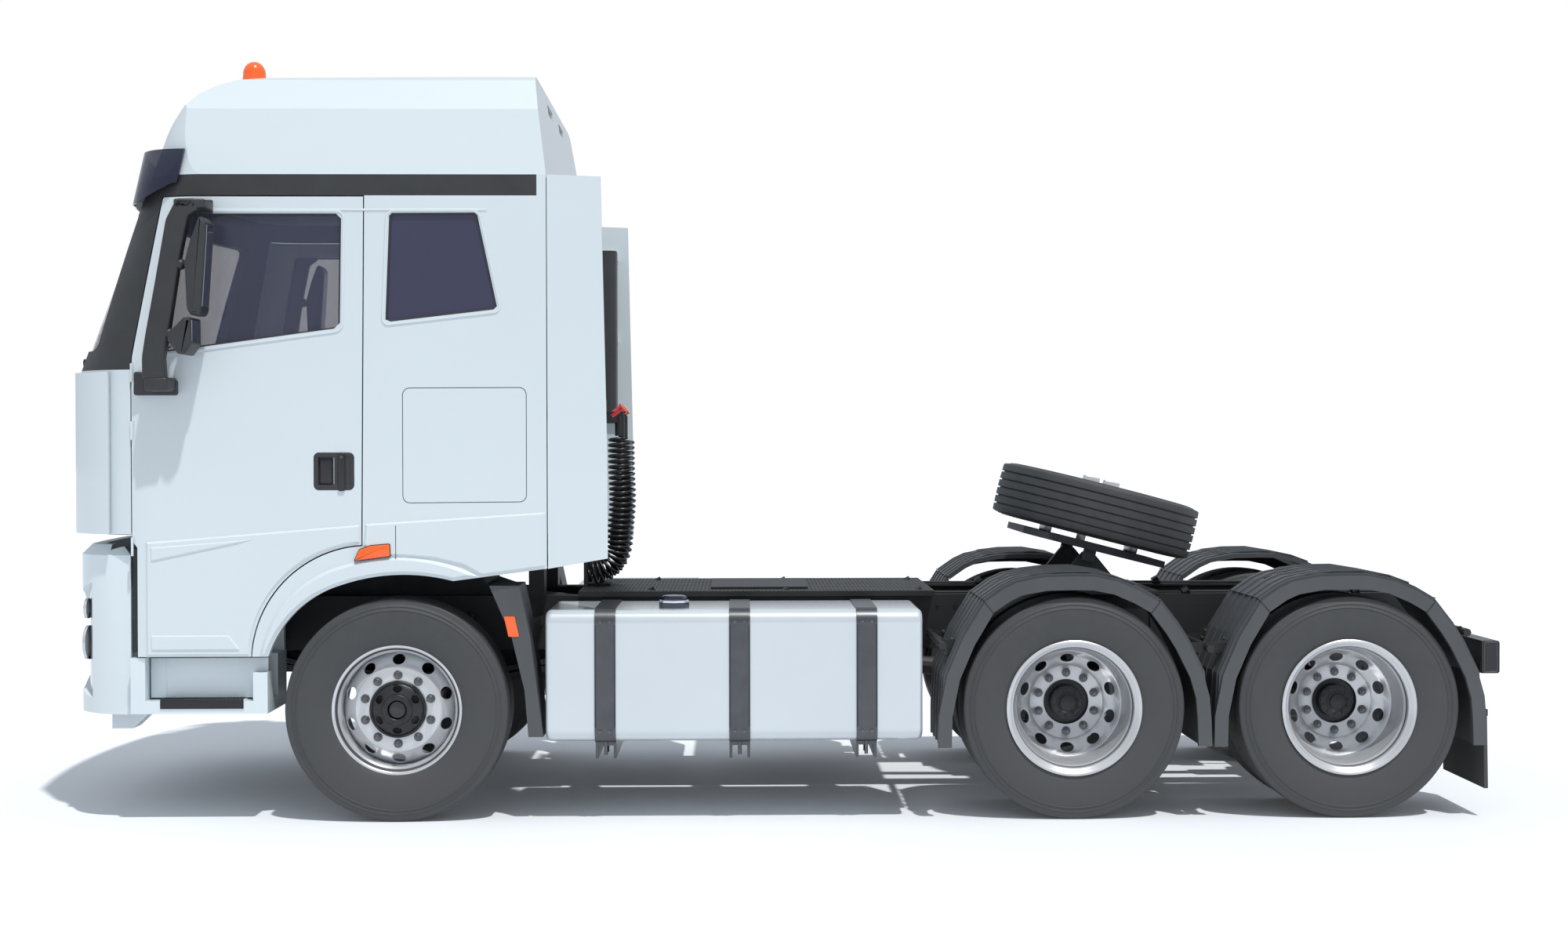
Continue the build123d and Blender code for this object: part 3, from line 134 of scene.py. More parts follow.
bm = bmesh.new()
bmesh.ops.create_grid(bm, x_segments=1, y_segments=1, size=120)
floor = link_mesh(bm, "floor")
floor_material = bpy.data.materials.new("floor")
floor_material.use_nodes = True
floor_nodes = floor_material.node_tree.nodes
floor_links = floor_material.node_tree.links
floor_shader = floor_nodes["Principled BSDF"]
put(floor_shader, Base_Color=(0.80, 0.83, 0.87, 1), Roughness=0.9, Emission_Color=(1, 1, 1, 1))
floor_ray = floor_nodes.new("ShaderNodeLightPath")
floor_lift = floor_nodes.new("ShaderNodeMath")
floor_lift.operation = "MULTIPLY"
floor_lift.inputs[1].default_value = 0.03
floor_links.new(floor_ray.outputs["Is Camera Ray"], floor_lift.inputs[0])
floor_links.new(floor_lift.outputs[0], floor_shader.inputs["Emission Strength"])
floor.data.materials.append(floor_material)

# %% [markdown]
# ## Shared effects
# Two things show on almost every surface: a colour that is never quite even, and a fine relief, the orange
# peel of paint or the grain of moulded plastic. Each is a node group, made once and given its own numbers in
# each material. Painting them as images would be quicker to look up, but a group stays sharp at any distance.

# %% Node group: uneven colour
def new_group(name, inputs, outputs):
    """A shader node group with named sockets, and its two end nodes."""
    group = bpy.data.node_groups.new(name, "ShaderNodeTree")
    for socket, kind, value in inputs:
        made = group.interface.new_socket(socket, in_out="INPUT", socket_type="NodeSocket" + kind)
        if value is not None:
            made.default_value = value
    for socket, kind in outputs:
        group.interface.new_socket(socket, in_out="OUTPUT", socket_type="NodeSocket" + kind)
    return group, group.nodes.new("NodeGroupInput"), group.nodes.new("NodeGroupOutput")


uneven, ends, out = new_group(
    "uneven_colour",
    [("Color", "Color", (0.8, 0.8, 0.8, 1)), ("Scale", "Float", 3.0), ("Amount", "Float", 0.05),
     ("Dust", "Float", 0.0)],
    [("Color", "Color"), ("Mask", "Float")],
)
place = uneven.nodes.new("ShaderNodeTexCoord")
clouds = uneven.nodes.new("ShaderNodeTexNoise")
put(clouds, Detail=5, Roughness=0.6)
shade = uneven.nodes.new("ShaderNodeMapRange")
put(shade, From_Min=0.3, From_Max=0.7, To_Min=1.0)
darker = uneven.nodes.new("ShaderNodeMath")
darker.operation = "SUBTRACT"
darker.inputs[0].default_value = 1.0
tint = uneven.nodes.new("ShaderNodeMix")
tint.data_type = "RGBA"
tint.blend_type = "MULTIPLY"
put(tint, Factor=1.0)
height = uneven.nodes.new("ShaderNodeSeparateXYZ")
near_road = uneven.nodes.new("ShaderNodeMapRange")
put(near_road, From_Min=0.1, From_Max=1.3, To_Min=1.0, To_Max=0.0)
dust_amount = uneven.nodes.new("ShaderNodeMath")
dust_amount.operation = "MULTIPLY"
dust_patches = uneven.nodes.new("ShaderNodeMath")
dust_patches.operation = "MULTIPLY"
dusty = uneven.nodes.new("ShaderNodeMix")
dusty.data_type = "RGBA"
dusty.inputs["B"].default_value = (0.36, 0.35, 0.33, 1)
for start, end in (
    (place.outputs["Object"], clouds.inputs["Vector"]),
    (ends.outputs["Scale"], clouds.inputs["Scale"]),
    (clouds.outputs["Fac"], shade.inputs["Value"]),
    (ends.outputs["Amount"], darker.inputs[1]),
    (darker.outputs[0], shade.inputs["To Max"]),
    (ends.outputs["Color"], tint.inputs["A"]),
    (shade.outputs["Result"], tint.inputs["B"]),
    (place.outputs["Object"], height.inputs["Vector"]),
    (height.outputs["Z"], near_road.inputs["Value"]),
    (near_road.outputs["Result"], dust_patches.inputs[0]),
    (clouds.outputs["Fac"], dust_patches.inputs[1]),
    (dust_patches.outputs[0], dust_amount.inputs[0]),
    (ends.outputs["Dust"], dust_amount.inputs[1]),
    (dust_amount.outputs[0], dusty.inputs["Factor"]),
    (tint.outputs["Result"], dusty.inputs["A"]),
    (dusty.outputs["Result"], out.inputs["Color"]),
    (clouds.outputs["Fac"], out.inputs["Mask"]),
):
    uneven.links.new(start, end)

# %% Node group: fine relief
relief, ends, out = new_group(
    "fine_relief",
    [("Scale", "Float", 400.0), ("Strength", "Float", 0.1), ("Distance", "Float", 0.0005)],
    [("Normal", "Vector"), ("Height", "Float")],
)
place = relief.nodes.new("ShaderNodeTexCoord")
grain = relief.nodes.new("ShaderNodeTexNoise")
put(grain, Detail=2)
bump = relief.nodes.new("ShaderNodeBump")
for start, end in (
    (place.outputs["Object"], grain.inputs["Vector"]),
    (ends.outputs["Scale"], grain.inputs["Scale"]),
    (grain.outputs["Fac"], bump.inputs["Height"]),
    (ends.outputs["Strength"], bump.inputs["Strength"]),
    (ends.outputs["Distance"], bump.inputs["Distance"]),
    (bump.outputs["Normal"], out.inputs["Normal"]),
    (grain.outputs["Fac"], out.inputs["Height"]),
):
    relief.links.new(start, end)

# %% [markdown]
# ## Finishes
# One function mixes a finish from those groups and a few plain numbers. The numbers that are the same all
# over a surface, such as the depth of the clear coat, are set straight on the shader.

# %% A finish from plain numbers
def finish(name, colour, roughness, metallic=0.0, uneven_scale=3.0, uneven_amount=0.05, dust=0.0,
           grain_scale=400.0, grain_strength=0.1, grain_distance=0.0004, **sockets):
    """A material: uneven colour, fine relief and a shader with some more of its sockets set."""
    material = bpy.data.materials.new(name)
    material.use_nodes = True
    tree = material.node_tree
    shader = tree.nodes["Principled BSDF"]
    put(shader, Roughness=roughness, Metallic=metallic, **sockets)
    colours = tree.nodes.new("ShaderNodeGroup")
    colours.node_tree = uneven
    put(colours, Color=(*colour, 1), Scale=uneven_scale, Amount=uneven_amount, Dust=dust)
    tree.links.new(colours.outputs["Color"], shader.inputs["Base Color"])
    grains = tree.nodes.new("ShaderNodeGroup")
    grains.node_tree = relief
    put(grains, Scale=grain_scale, Strength=grain_strength, Distance=grain_distance)
    tree.links.new(grains.outputs["Normal"], shader.inputs["Normal"])
    return material


paint = finish("cab_paint", (0.645, 0.715, 0.745), 0.32, uneven_scale=0.7, uneven_amount=0.03,
               grain_scale=900,
               grain_strength=0.03, Coat_Weight=0.6, Coat_Roughness=0.06)
bumper_paint = finish("bumper_paint", (0.70, 0.775, 0.81), 0.38, uneven_scale=1.2, uneven_amount=0.05,
                      dust=0.05,
                      grain_scale=900, grain_strength=0.04, Coat_Weight=0.3, Coat_Roughness=0.12)
dark_trim = finish("dark_trim", (0.033, 0.0345, 0.037), 0.48, uneven_scale=6, uneven_amount=0.25,
                   grain_scale=700, grain_strength=0.25)
fender_plastic = finish("fender_plastic", (0.075, 0.08, 0.086), 0.55, uneven_scale=4, uneven_amount=0.2,
                        dust=0.10, grain_scale=500, grain_strength=0.3)
chassis_paint = finish("chassis_paint", (0.013, 0.0135, 0.015), 0.5, uneven_scale=5, uneven_amount=0.3,
                       dust=0.12,
                       grain_scale=250, grain_strength=0.2)
cast_metal = finish("cast_metal", (0.05, 0.052, 0.058), 0.6, 0.4, uneven_scale=9, uneven_amount=0.35,
                    dust=0.15,
                    grain_scale=160, grain_strength=0.5, grain_distance=0.001)
tank_skin = finish("tank_skin", (0.66, 0.71, 0.745), 0.24, 0.35, uneven_scale=1.1, uneven_amount=0.05,
                   dust=0.04,
                   grain_scale=300, grain_strength=0.04, Coat_Weight=0.4, Coat_Roughness=0.1)
strap_steel = finish("strap_steel", (0.125, 0.13, 0.14), 0.34, 0.9, uneven_scale=7, uneven_amount=0.2,
                     grain_scale=500, grain_strength=0.15)
rim_silver = finish("rim_silver", (0.66, 0.67, 0.69), 0.3, 0.55, uneven_scale=6, uneven_amount=0.08,
                    dust=0.05,
                    grain_scale=500, grain_strength=0.08, Coat_Weight=0.3, Coat_Roughness=0.15)
nut_steel = finish("nut_steel", (0.16, 0.165, 0.175), 0.32, 0.85, uneven_scale=40, uneven_amount=0.25,
                   grain_scale=900, grain_strength=0.2)
hub_black = finish("hub_black", (0.03, 0.031, 0.034), 0.38, 0.3, uneven_scale=20, uneven_amount=0.3,
                   grain_scale=400, grain_strength=0.2)
tyre_rubber = finish("tyre_rubber", (0.052, 0.054, 0.057), 0.62, uneven_scale=14, uneven_amount=0.22,
                     dust=0.10,
                     grain_scale=600, grain_strength=0.3)
flap_rubber = finish("flap_rubber", (0.035, 0.036, 0.039), 0.7, uneven_scale=6, uneven_amount=0.25, dust=0.2,
                     grain_scale=300, grain_strength=0.4)
walkway_metal = finish("walkway_metal", (0.028, 0.029, 0.031), 0.5, 0.5, uneven_scale=6, uneven_amount=0.3,
                       dust=0.1, grain_scale=300, grain_strength=0.2)
hose_plastic = finish("hose_plastic", (0.012, 0.012, 0.014), 0.3, uneven_scale=30, uneven_amount=0.2,
                      grain_scale=900, grain_strength=0.1)
orange_lens = finish("orange_lens", (1.0, 0.13, 0.008), 0.22, uneven_scale=30, uneven_amount=0.06,
                     grain_scale=900, grain_strength=0.05, Coat_Weight=0.6)
cabin_plastic = finish("cabin_plastic", (0.10, 0.105, 0.12), 0.55, uneven_scale=8, uneven_amount=0.2,
                       grain_scale=700, grain_strength=0.3)
seat_cloth = finish("seat_cloth", (0.09, 0.095, 0.13), 0.9, uneven_scale=60, uneven_amount=0.3,
                    grain_scale=900,
                    grain_strength=0.6, grain_distance=0.001, Sheen_Weight=0.4)
lamp_housing = finish("lamp_housing", (0.02, 0.02, 0.022), 0.3, uneven_scale=20, uneven_amount=0.2,
                      grain_scale=600, grain_strength=0.1)

# %% [markdown]
# ## Glass
# The door's window is clear with a faint grey-blue tint, and the sleeper's window and the visor are nearly
# black-blue. Real glass bends light, but a thin pane hardly does, so a clear shader mixed with a glossy one
# is enough, and it stays bright inside where true refraction would go dark.

# %% Glass and tinted plastic
def tinted(name, colour, alpha, roughness=0.03):
    """A thin tinted pane: as opaque as its alpha, with its full gloss."""
    material = finish(name, colour, roughness, uneven_scale=2, uneven_amount=0.1, grain_scale=30,
                      grain_strength=0.01, Alpha=alpha, Coat_Weight=0.5)
    return material


clear_glass = tinted("clear_glass", (0.085, 0.090, 0.145), 0.36)
dark_glass = tinted("dark_glass", (0.040, 0.040, 0.085), 0.94)
visor_plastic = tinted("visor_plastic", (0.008, 0.012, 0.040), 0.80)
lamp_lens = finish("lamp_lens", (0.62, 0.66, 0.70), 0.12, 0.2, uneven_scale=20, uneven_amount=0.15,
                   grain_scale=60,
                   grain_strength=0.05, Coat_Weight=0.8)
red_lens = finish("red_lens", (0.55, 0.01, 0.012), 0.2, uneven_scale=30, uneven_amount=0.1, Coat_Weight=0.6)
mirror_glass = finish("mirror_glass", (0.55, 0.57, 0.60), 0.04, 1.0, uneven_scale=3, uneven_amount=0.03,
                      grain_scale=20, grain_strength=0.01)


def coat(material, *names):
    """Give CAD nodes a finish in place of the plain one they came with."""
    for name in names:
        slots = nodes[name].data.materials
        for index in range(len(slots)):
            slots[index] = material


coat(paint, "door_left", "door_right", "cab_sides", "cab_front", "cab_rear_wall", "roof", "side_deflectors",
     "front_flap")
coat(bumper_paint, "bumper", "step_wells")
coat(lamp_lens, "headlamps")
coat(dark_trim, "window_frame", "mirrors_left", "mirrors_right", "intake_duct", "battery_box")
coat(clear_glass, "door_glass_left", "door_glass_right", "cab_glass")
coat(visor_plastic, "sun_visor")
coat(orange_lens, "beacon")
coat(cabin_plastic, "dashboard")
coat(seat_cloth, "seats")
coat(chassis_paint, "cab_floor", "chassis_rails", "cross_members", "front_axle", "bogie_springs",
     "fender_brackets", "fifth_wheel_base", "hose_stand")
coat(cast_metal, "engine", "drive_axles", "fifth_wheel_plate", "knuckle_left", "knuckle_right")
coat(tank_skin, "fuel_tank", "silencer_box")
coat(strap_steel, "tank_straps")
coat(fender_plastic, "front_mudguards", "rear_fenders")
coat(flap_rubber, "mudflaps")
coat(lamp_housing, "tail_lamps")
coat(walkway_metal, "catwalk")
coat(tyre_rubber, *[name for name in nodes if "tyre" in name])
coat(rim_silver, *[name for name in nodes if "rim" in name])
coat(hose_plastic, "hose_left", "hose_right")

# %% [markdown]
# ## Coiled air hoses
# Two curly hoses hang behind the cab between the couplings and the foot valves. The line that the coil
# follows is a smooth NURBS curve through the route's few points. The helix is then wound round points read
# from that curve: a modifier could array one turn along it, but a loop keeps the real length in view.

# %% Hoses: the route and the helix round it
def round_edges(bm, edges, offset, segments=3):
    """Bevel some edges to a round of so many steps."""
    bmesh.ops.bevel(bm, geom=edges, offset=offset, offset_type="OFFSET", affect="EDGES", segments=segments,
                    profile=0.5, material=-1)


def moved(bm, matrix):
    """A bmesh after it is moved and turned by a matrix."""
    bmesh.ops.transform(bm, verts=bm.verts, matrix=matrix)
    return bm


def add_piece(obj, body, *materials, smooth=True):
    """Finish a new object: its materials, its shading and the body that it rides on."""
    for material in materials:
        obj.data.materials.append(material)
    if smooth and obj.type == "MESH":
        obj.data.shade_smooth()
        obj.data.set_sharp_from_angle(angle=math.radians(50))
    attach(obj, body)
    return obj


def behind(distance, side, height):
    """A place given as metres behind the front axle, to the right, and above the road."""
    return Vector((front_axle + distance, side, height))


hose_side, wire, coil_pitch = 0.150, 0.017, 0.029
coil_radius = 0.066 - wire / 2 - 0.0005
hose_route = [(1.026, 1.880), (1.026, 1.706), (1.036, 1.530), (1.020, 1.362), (1.012, 1.252), (0.975, 1.180),
              (0.912, 1.150), (0.850, 1.150)]


def smooth_line(points, name):
    """Points along the smooth NURBS line that a route's control points give."""
    data = bpy.data.curves.new(name, "CURVE")
    data.dimensions = "3D"
    spline = data.splines.new("NURBS")
    spline.points.add(len(points) - 1)
    for control, point in zip(spline.points, points):
        control.co = (*point, 1)
    spline.order_u = 3
    spline.use_endpoint_u = True
    data.resolution_u = 24
    line = bpy.data.objects.new(name, data)
    sampled = bpy.data.meshes.new_from_object(line)
    places = [vert.co.copy() for vert in sampled.vertices]
    bpy.data.objects.remove(line)
    return places


def wind(line, name):
    """A tube wound round a line that stays in one upright plane, and the tube's own length."""
    steps_per_turn, places, turned, travelled = 14, [], 0.0, 0.0
    total = sum((b - a).length for a, b in zip(line, line[1:]))
    turns = total / coil_pitch
    count = int(turns * steps_per_turn)
    index = 0
    for step in range(count + 1):
        target = total * step / count
        while index < len(line) - 2 and travelled + (line[index + 1] - line[index]).length < target:
            travelled += (line[index + 1] - line[index]).length
            index += 1
        ahead = line[index + 1] - line[index]
        at = line[index] + ahead.normalized() * (target - travelled)
        across = ahead.normalized().cross(Vector((0, 1, 0)))
        end_run = min(target, total - target)
        swell = coil_radius * min(1.0, end_run / 0.022)
        turned = 2 * math.pi * turns * step / count
        places.append(at + swell * (math.cos(turned) * Vector((0, 1, 0)) + math.sin(turned) * across))
    data = bpy.data.curves.new(name, "CURVE")
    data.dimensions = "3D"
    spline = data.splines.new("POLY")
    spline.points.add(len(places) - 1)
    for control, place in zip(spline.points, places):
        control.co = (*place, 1)
    data.bevel_depth = wire / 2
    data.bevel_resolution = 2
    data.use_fill_caps = True
    hose = bpy.data.objects.new(name, data)
    bpy.context.scene.collection.objects.link(hose)
    return hose, sum((b - a).length for a, b in zip(places, places[1:]))


for side_name, side in (("left", -hose_side), ("right", hose_side)):
    line = smooth_line([behind(distance, side, height) for distance, height in hose_route], "line")
    hose, hose_length = wind(line, "curly_hose_" + side_name)
    add_piece(hose, "chassis", hose_plastic)
    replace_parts(hose, "hose_" + side_name)
    print("hose", side_name, "holds", round(hose_length, 2), "m of tube in its coil")

# %% [markdown]
# ## Wheels
# A wheel is a round profile spun about its axle, so the tyre and the rim's barrel each start as one line of
# points and take their form from `spin`. The disc between them has ten hand holes. Cutting holes with a
# boolean leaves ragged faces, so one tenth of the disc is grown outward from a hole's own edge, and that tenth
# is spun round as ten copies whose edges meet. Every wheel is built in its own axes, with z pointing
# outward, and is then laid in its place on the truck.

# %% Wheels: profiles spun into rings
def spun(profile, steps=96, closed=True):
    """A ring made from (radius, height) points spun about the z axis."""
    bm = bmesh.new()
    verts = [bm.verts.new((radius, 0, height)) for radius, height in profile]
    edges = [bm.edges.new(pair) for pair in zip(verts, verts[1:])]
    if closed:
        edges.append(bm.edges.new((verts[-1], verts[0])))
    bmesh.ops.spin(bm, geom=verts + edges, cent=(0, 0, 0), axis=(0, 0, 1), dvec=(0, 0, 0),
                   angle=2 * math.pi, steps=steps, use_merge=True, use_normal_flip=False,
                   use_duplicate=False)
    bmesh.ops.remove_doubles(bm, verts=bm.verts, dist=0.00002)
    bmesh.ops.recalc_face_normals(bm, faces=bm.faces)
    return bm


def finished_mesh(bm, name):
    """A mesh that several wheels share before each gets its own copy."""
    mesh = bpy.data.meshes.new(name)
    bm.to_mesh(mesh)
    bm.free()
    return mesh


groove, groove_depth, tread_half = 0.0046, 0.013, 0.123
sidewall = [(0.292, 0.104), (0.301, 0.118), (0.322, 0.130), (0.350, 0.138), (0.385, 0.143), (0.425, 0.1446),
            (0.462, 0.1432), (0.4840, 0.1404), (0.4856, 0.1424), (0.4884, 0.1420), (0.4900, 0.1394),
            (0.5030, 0.1374), (0.5046, 0.1392), (0.5074, 0.1386), (0.5090, 0.1360), (0.522, 0.1335),
            (0.533, 0.1305), (0.539, 0.1280), (0.5415, tread_half)]
tread = []
for groove_at in (0.088, 0.044, 0.0, -0.044, -0.088):
    crown = tyre_radius - 0.26 * groove_at ** 2
    tread += [(crown, groove_at + groove), (crown - groove_depth, groove_at + groove * 0.7),
              (crown - groove_depth, groove_at - groove * 0.7), (crown, groove_at - groove)]
tyre_mesh = finished_mesh(
    spun(sidewall + tread + [(radius, -height) for radius, height in reversed(sidewall)]), "tyre")
print("one tyre has", len(tyre_mesh.polygons), "faces")


# %% Wheels: a disc with hand holes, grown from the holes' edges
def along(table, radius):
    """The height at a radius, read along a short table of (radius, height) points."""
    for (near, near_height), (far, far_height) in zip(table, table[1:]):
        if radius <= far:
            return near_height + (far_height - near_height) * (radius - near) / (far - near)
    return table[-1][1]


def holed_disc(table, hole_circle, hole_wide, hole_tall, inner, outer, count, thickness=0.009):
    """A pressed disc whose height follows a table and whose holes lie on a circle."""
    bm = bmesh.new()
    rim_verts = bmesh.ops.create_circle(bm, cap_ends=False, segments=16, radius=1)["verts"]
    middle, half_depth, half_turn = (inner + outer) / 2, (outer - inner) / 2, math.pi / count
    corners = {}
    for vert in rim_verts:
        u, v = vert.co.x, vert.co.y
        square = max(abs(u), abs(v))
        radius, turn = middle + half_depth * u / square, half_turn * v / square
        corners[vert] = Vector((radius * math.cos(turn), radius * math.sin(turn), 0))
        vert.co = (hole_circle + hole_tall * u, hole_wide * v, 0)
    ring, edges = list(rim_verts), list(bm.edges)
    for share in (0.35, 1.0):
        grown = bmesh.ops.extrude_edge_only(bm, edges=edges)["geom"]
        edges = [item for item in grown if isinstance(item, bmesh.types.BMEdge)]
        new_ring = [item for item in grown if isinstance(item, bmesh.types.BMVert)]
        starts = {tuple(round(c, 6) for c in vert.co): vert for vert in ring}
        for vert in new_ring:
            root = starts[tuple(round(c, 6) for c in vert.co)]
            corners[vert] = corners[root]
        for vert in new_ring:
            hole_edge = vert.co.copy()
            vert.co = hole_edge.lerp(corners[vert], share)
        edges = [edge for edge in bm.edges if all(vert in new_ring for vert in edge.verts)]
        ring = new_ring
    bmesh.ops.spin(bm, geom=bm.verts[:] + bm.edges[:] + bm.faces[:], cent=(0, 0, 0), axis=(0, 0, 1),
                   dvec=(0, 0, 0), angle=2 * math.pi * (count - 1) / count, steps=count - 1,
                   use_merge=False, use_normal_flip=False, use_duplicate=True)
    bmesh.ops.rotate(bm, verts=bm.verts, cent=(0, 0, 0), matrix=Matrix.Rotation(math.pi / 2, 3, "Z"))
    bmesh.ops.remove_doubles(bm, verts=bm.verts, dist=0.0002)
    # the flat seat inside the holes
    inside = [edge for edge in bm.edges if edge.is_boundary
              and all(abs(vert.co.xy.length - inner) < 0.001 for vert in edge.verts)]
    for radius in (inner * 0.97 + table[0][0] * 0.03, table[0][0]):
        grown = bmesh.ops.extrude_edge_only(bm, edges=inside)["geom"]
        inside = [item for item in grown if isinstance(item, bmesh.types.BMEdge)]
        for vert in (item for item in grown if isinstance(item, bmesh.types.BMVert)):
            vert.co.xy = vert.co.xy.normalized() * radius
    for vert in bm.verts:
        vert.co.z = along(table, vert.co.xy.length)
    bmesh.ops.recalc_face_normals(bm, faces=bm.faces)
    if sum(face.normal.z for face in bm.faces) < 0:
        bmesh.ops.reverse_faces(bm, faces=bm.faces)
    bmesh.ops.solidify(bm, geom=bm.faces, thickness=thickness)
    sharp = [edge for edge in bm.edges if edge.is_manifold and edge.calc_face_angle() > 1.0]
    round_edges(bm, sharp, 0.0016, 2)
    return bm


def joined(parts):
    """Several bmeshes as one."""
    whole = bmesh.new()
    for part in parts:
        mesh = finished_mesh(part, "part")
        whole.from_mesh(mesh)
        bpy.data.meshes.remove(mesh)
    return whole


def ring_of(make, count, circle, height, start=0.0):
    """Copies of a small piece on a circle; make gives a new bmesh standing at the origin."""
    parts = []
    for index in range(count):
        part = make()
        turn = start + 2 * math.pi * index / count
        place = Matrix.Translation((circle * math.cos(turn), circle * math.sin(turn), height))
        parts.append(moved(part, place @ Matrix.Rotation(turn, 4, "Z")))
    return joined(parts)


def wheel_nut():
    """A hexagon nut with its washer and the end of its stud."""
    bm = bmesh.new()
    for sides, low_radius, high_radius, low_z, high_z in ((20, 0.0225, 0.0215, 0, 0.006),
                                                          (6, 0.0185, 0.0172, 0.006, 0.027),
                                                          (12, 0.0115, 0.0100, 0.027, 0.036)):
        bmesh.ops.create_cone(bm, cap_ends=True, segments=sides, radius1=low_radius, radius2=high_radius,
                              depth=high_z - low_z, matrix=Matrix.Translation((0, 0, (low_z + high_z) / 2)))
    corners = [edge for edge in bm.edges if edge.calc_face_angle(0) > 0.6]
    round_edges(bm, corners, 0.0012, 2)
    return bm


# %% Wheels: front and rear rims
front_flange = [(0.276, -0.112), (0.300, -0.118), (0.313, -0.121), (0.316, -0.117), (0.302, -0.108),
                (0.288, -0.100), (0.284, -0.03), (0.286, 0.07), (0.292, 0.098), (0.303, 0.112), (0.316,
                                                                                                 0.117),
                (0.3195, 0.121), (0.3185, 0.1255), (0.313, 0.127), (0.304, 0.1225), (0.2985, 0.113), (0.294,
                                                                                                      0.101),
                (0.284, 0.094), (0.279, 0.086), (0.2765, 0.06), (0.276, -0.02), (0.274, -0.09)]
front_table = [(0.132, 0.088), (0.198, 0.088), (0.206, 0.085), (0.222, 0.074), (0.262, 0.040), (0.277, 0.016)]
front_barrel_mesh = finished_mesh(
    joined([spun(front_flange), holed_disc(front_table, 0.2445, 0.0315, 0.0265, 0.209, 0.277,
                                           10)]), "front_rim")
rear_flange = [(0.257, -0.113), (0.262, -0.113), (0.268, -0.03), (0.282, 0.045), (0.292, 0.09),
               (0.300, 0.118),
               (0.322, 0.131), (0.331, 0.137), (0.332, 0.142), (0.327, 0.1455), (0.318, 0.1425), (0.309,
                                                                                                  0.132),
               (0.3025, 0.126), (0.298, 0.1235), (0.2955, 0.117), (0.291, 0.088), (0.2875, 0.084),
               (0.2835, 0.076), (0.281, 0.058), (0.2775, 0.052), (0.2725, 0.020), (0.264, -0.050)]
rear_table = [(0.112, -0.131), (0.170, -0.131), (0.1745, -0.134), (0.179, -0.130), (0.184, -0.124),
              (0.246, -0.080),
              (0.262, -0.052)]
rear_rim_mesh = finished_mesh(
    joined([spun(rear_flange), holed_disc(rear_table, 0.2215, 0.0335, 0.0225, 0.184, 0.262, 10)]), "rear_rim")
inner_rim_mesh = finished_mesh(spun(front_flange), "inner_rim")
front_nuts_mesh = finished_mesh(ring_of(wheel_nut, 10, 0.1675, 0.088, math.pi / 2), "front_nuts")
rear_nuts_mesh = finished_mesh(ring_of(wheel_nut, 10, 0.146, -0.131, math.pi / 2), "rear_nuts")


# %% Wheels: hubs
def small_bolt():
    """A low hexagon bolt head."""
    bm = bmesh.new()
    bmesh.ops.create_cone(bm, cap_ends=True, segments=6, radius1=0.0062, radius2=0.0056, depth=0.006)
    return bm


cap_table = [(0.074, 0.120), (0.080, 0.1205), (0.122, 0.103), (0.131, 0.097)]
front_cap = joined([
    holed_disc(cap_table, 0.1015, 0.0225, 0.0165, 0.0815, 0.1255, 6, thickness=0.006),
    spun([(0.129, 0.088), (0.138, 0.088), (0.138, 0.100), (0.134, 0.104), (0.127, 0.101)]),
    spun([(0.047, 0.090), (0.075, 0.090), (0.075, 0.124), (0.071, 0.128), (0.052, 0.128), (0.047, 0.124)]),
    ring_of(small_bolt, 8, 0.062, 0.129, math.pi / 8),
])
front_cap_mesh = finished_mesh(front_cap, "hub_cap")
front_core_mesh = finished_mesh(joined([
    spun([(0.0, 0.060), (0.137, 0.060), (0.137, 0.066), (0.044, 0.072), (0.042, 0.108), (0.039, 0.112),
          (0.0, 0.113)], 48, closed=False),
]), "hub_core")
rear_hub_mesh = finished_mesh(joined([
    spun([(0.0, -0.060), (0.036, -0.060), (0.040, -0.064), (0.041, -0.075), (0.048, -0.078), (0.052, -0.084),
          (0.060, -0.086), (0.078, -0.088), (0.083, -0.093), (0.083, -0.150), (0.0,
                                                                               -0.150)], 48, closed=False),
    ring_of(small_bolt, 10, 0.0665, -0.084, 0.2),
]), "rear_hub")
rear_well_mesh = finished_mesh(
    spun([(0.080, -0.168), (0.116, -0.168), (0.116, -0.138), (0.112, -0.138), (0.112, -0.160),
          (0.080, -0.160)], 48),
    "hub_well")


# %% Wheels: laid in their places
left_axes = Matrix(((1, 0, 0, 0), (0, 0, -1, 0), (0, 1, 0, 0), (0, 0, 0, 1)))
right_axes = Matrix(((-1, 0, 0, 0), (0, 0, 1, 0), (0, 1, 0, 0), (0, 0, 0, 1)))


def lay(mesh, name, matrix, body, material):
    """A copy of a wheel's mesh, laid in its place and riding on its body."""
    copy = mesh.copy()
    copy.transform(matrix)
    obj = bpy.data.objects.new(name, copy)
    bpy.context.scene.collection.objects.link(obj)
    add_piece(obj, body, material)
    return obj


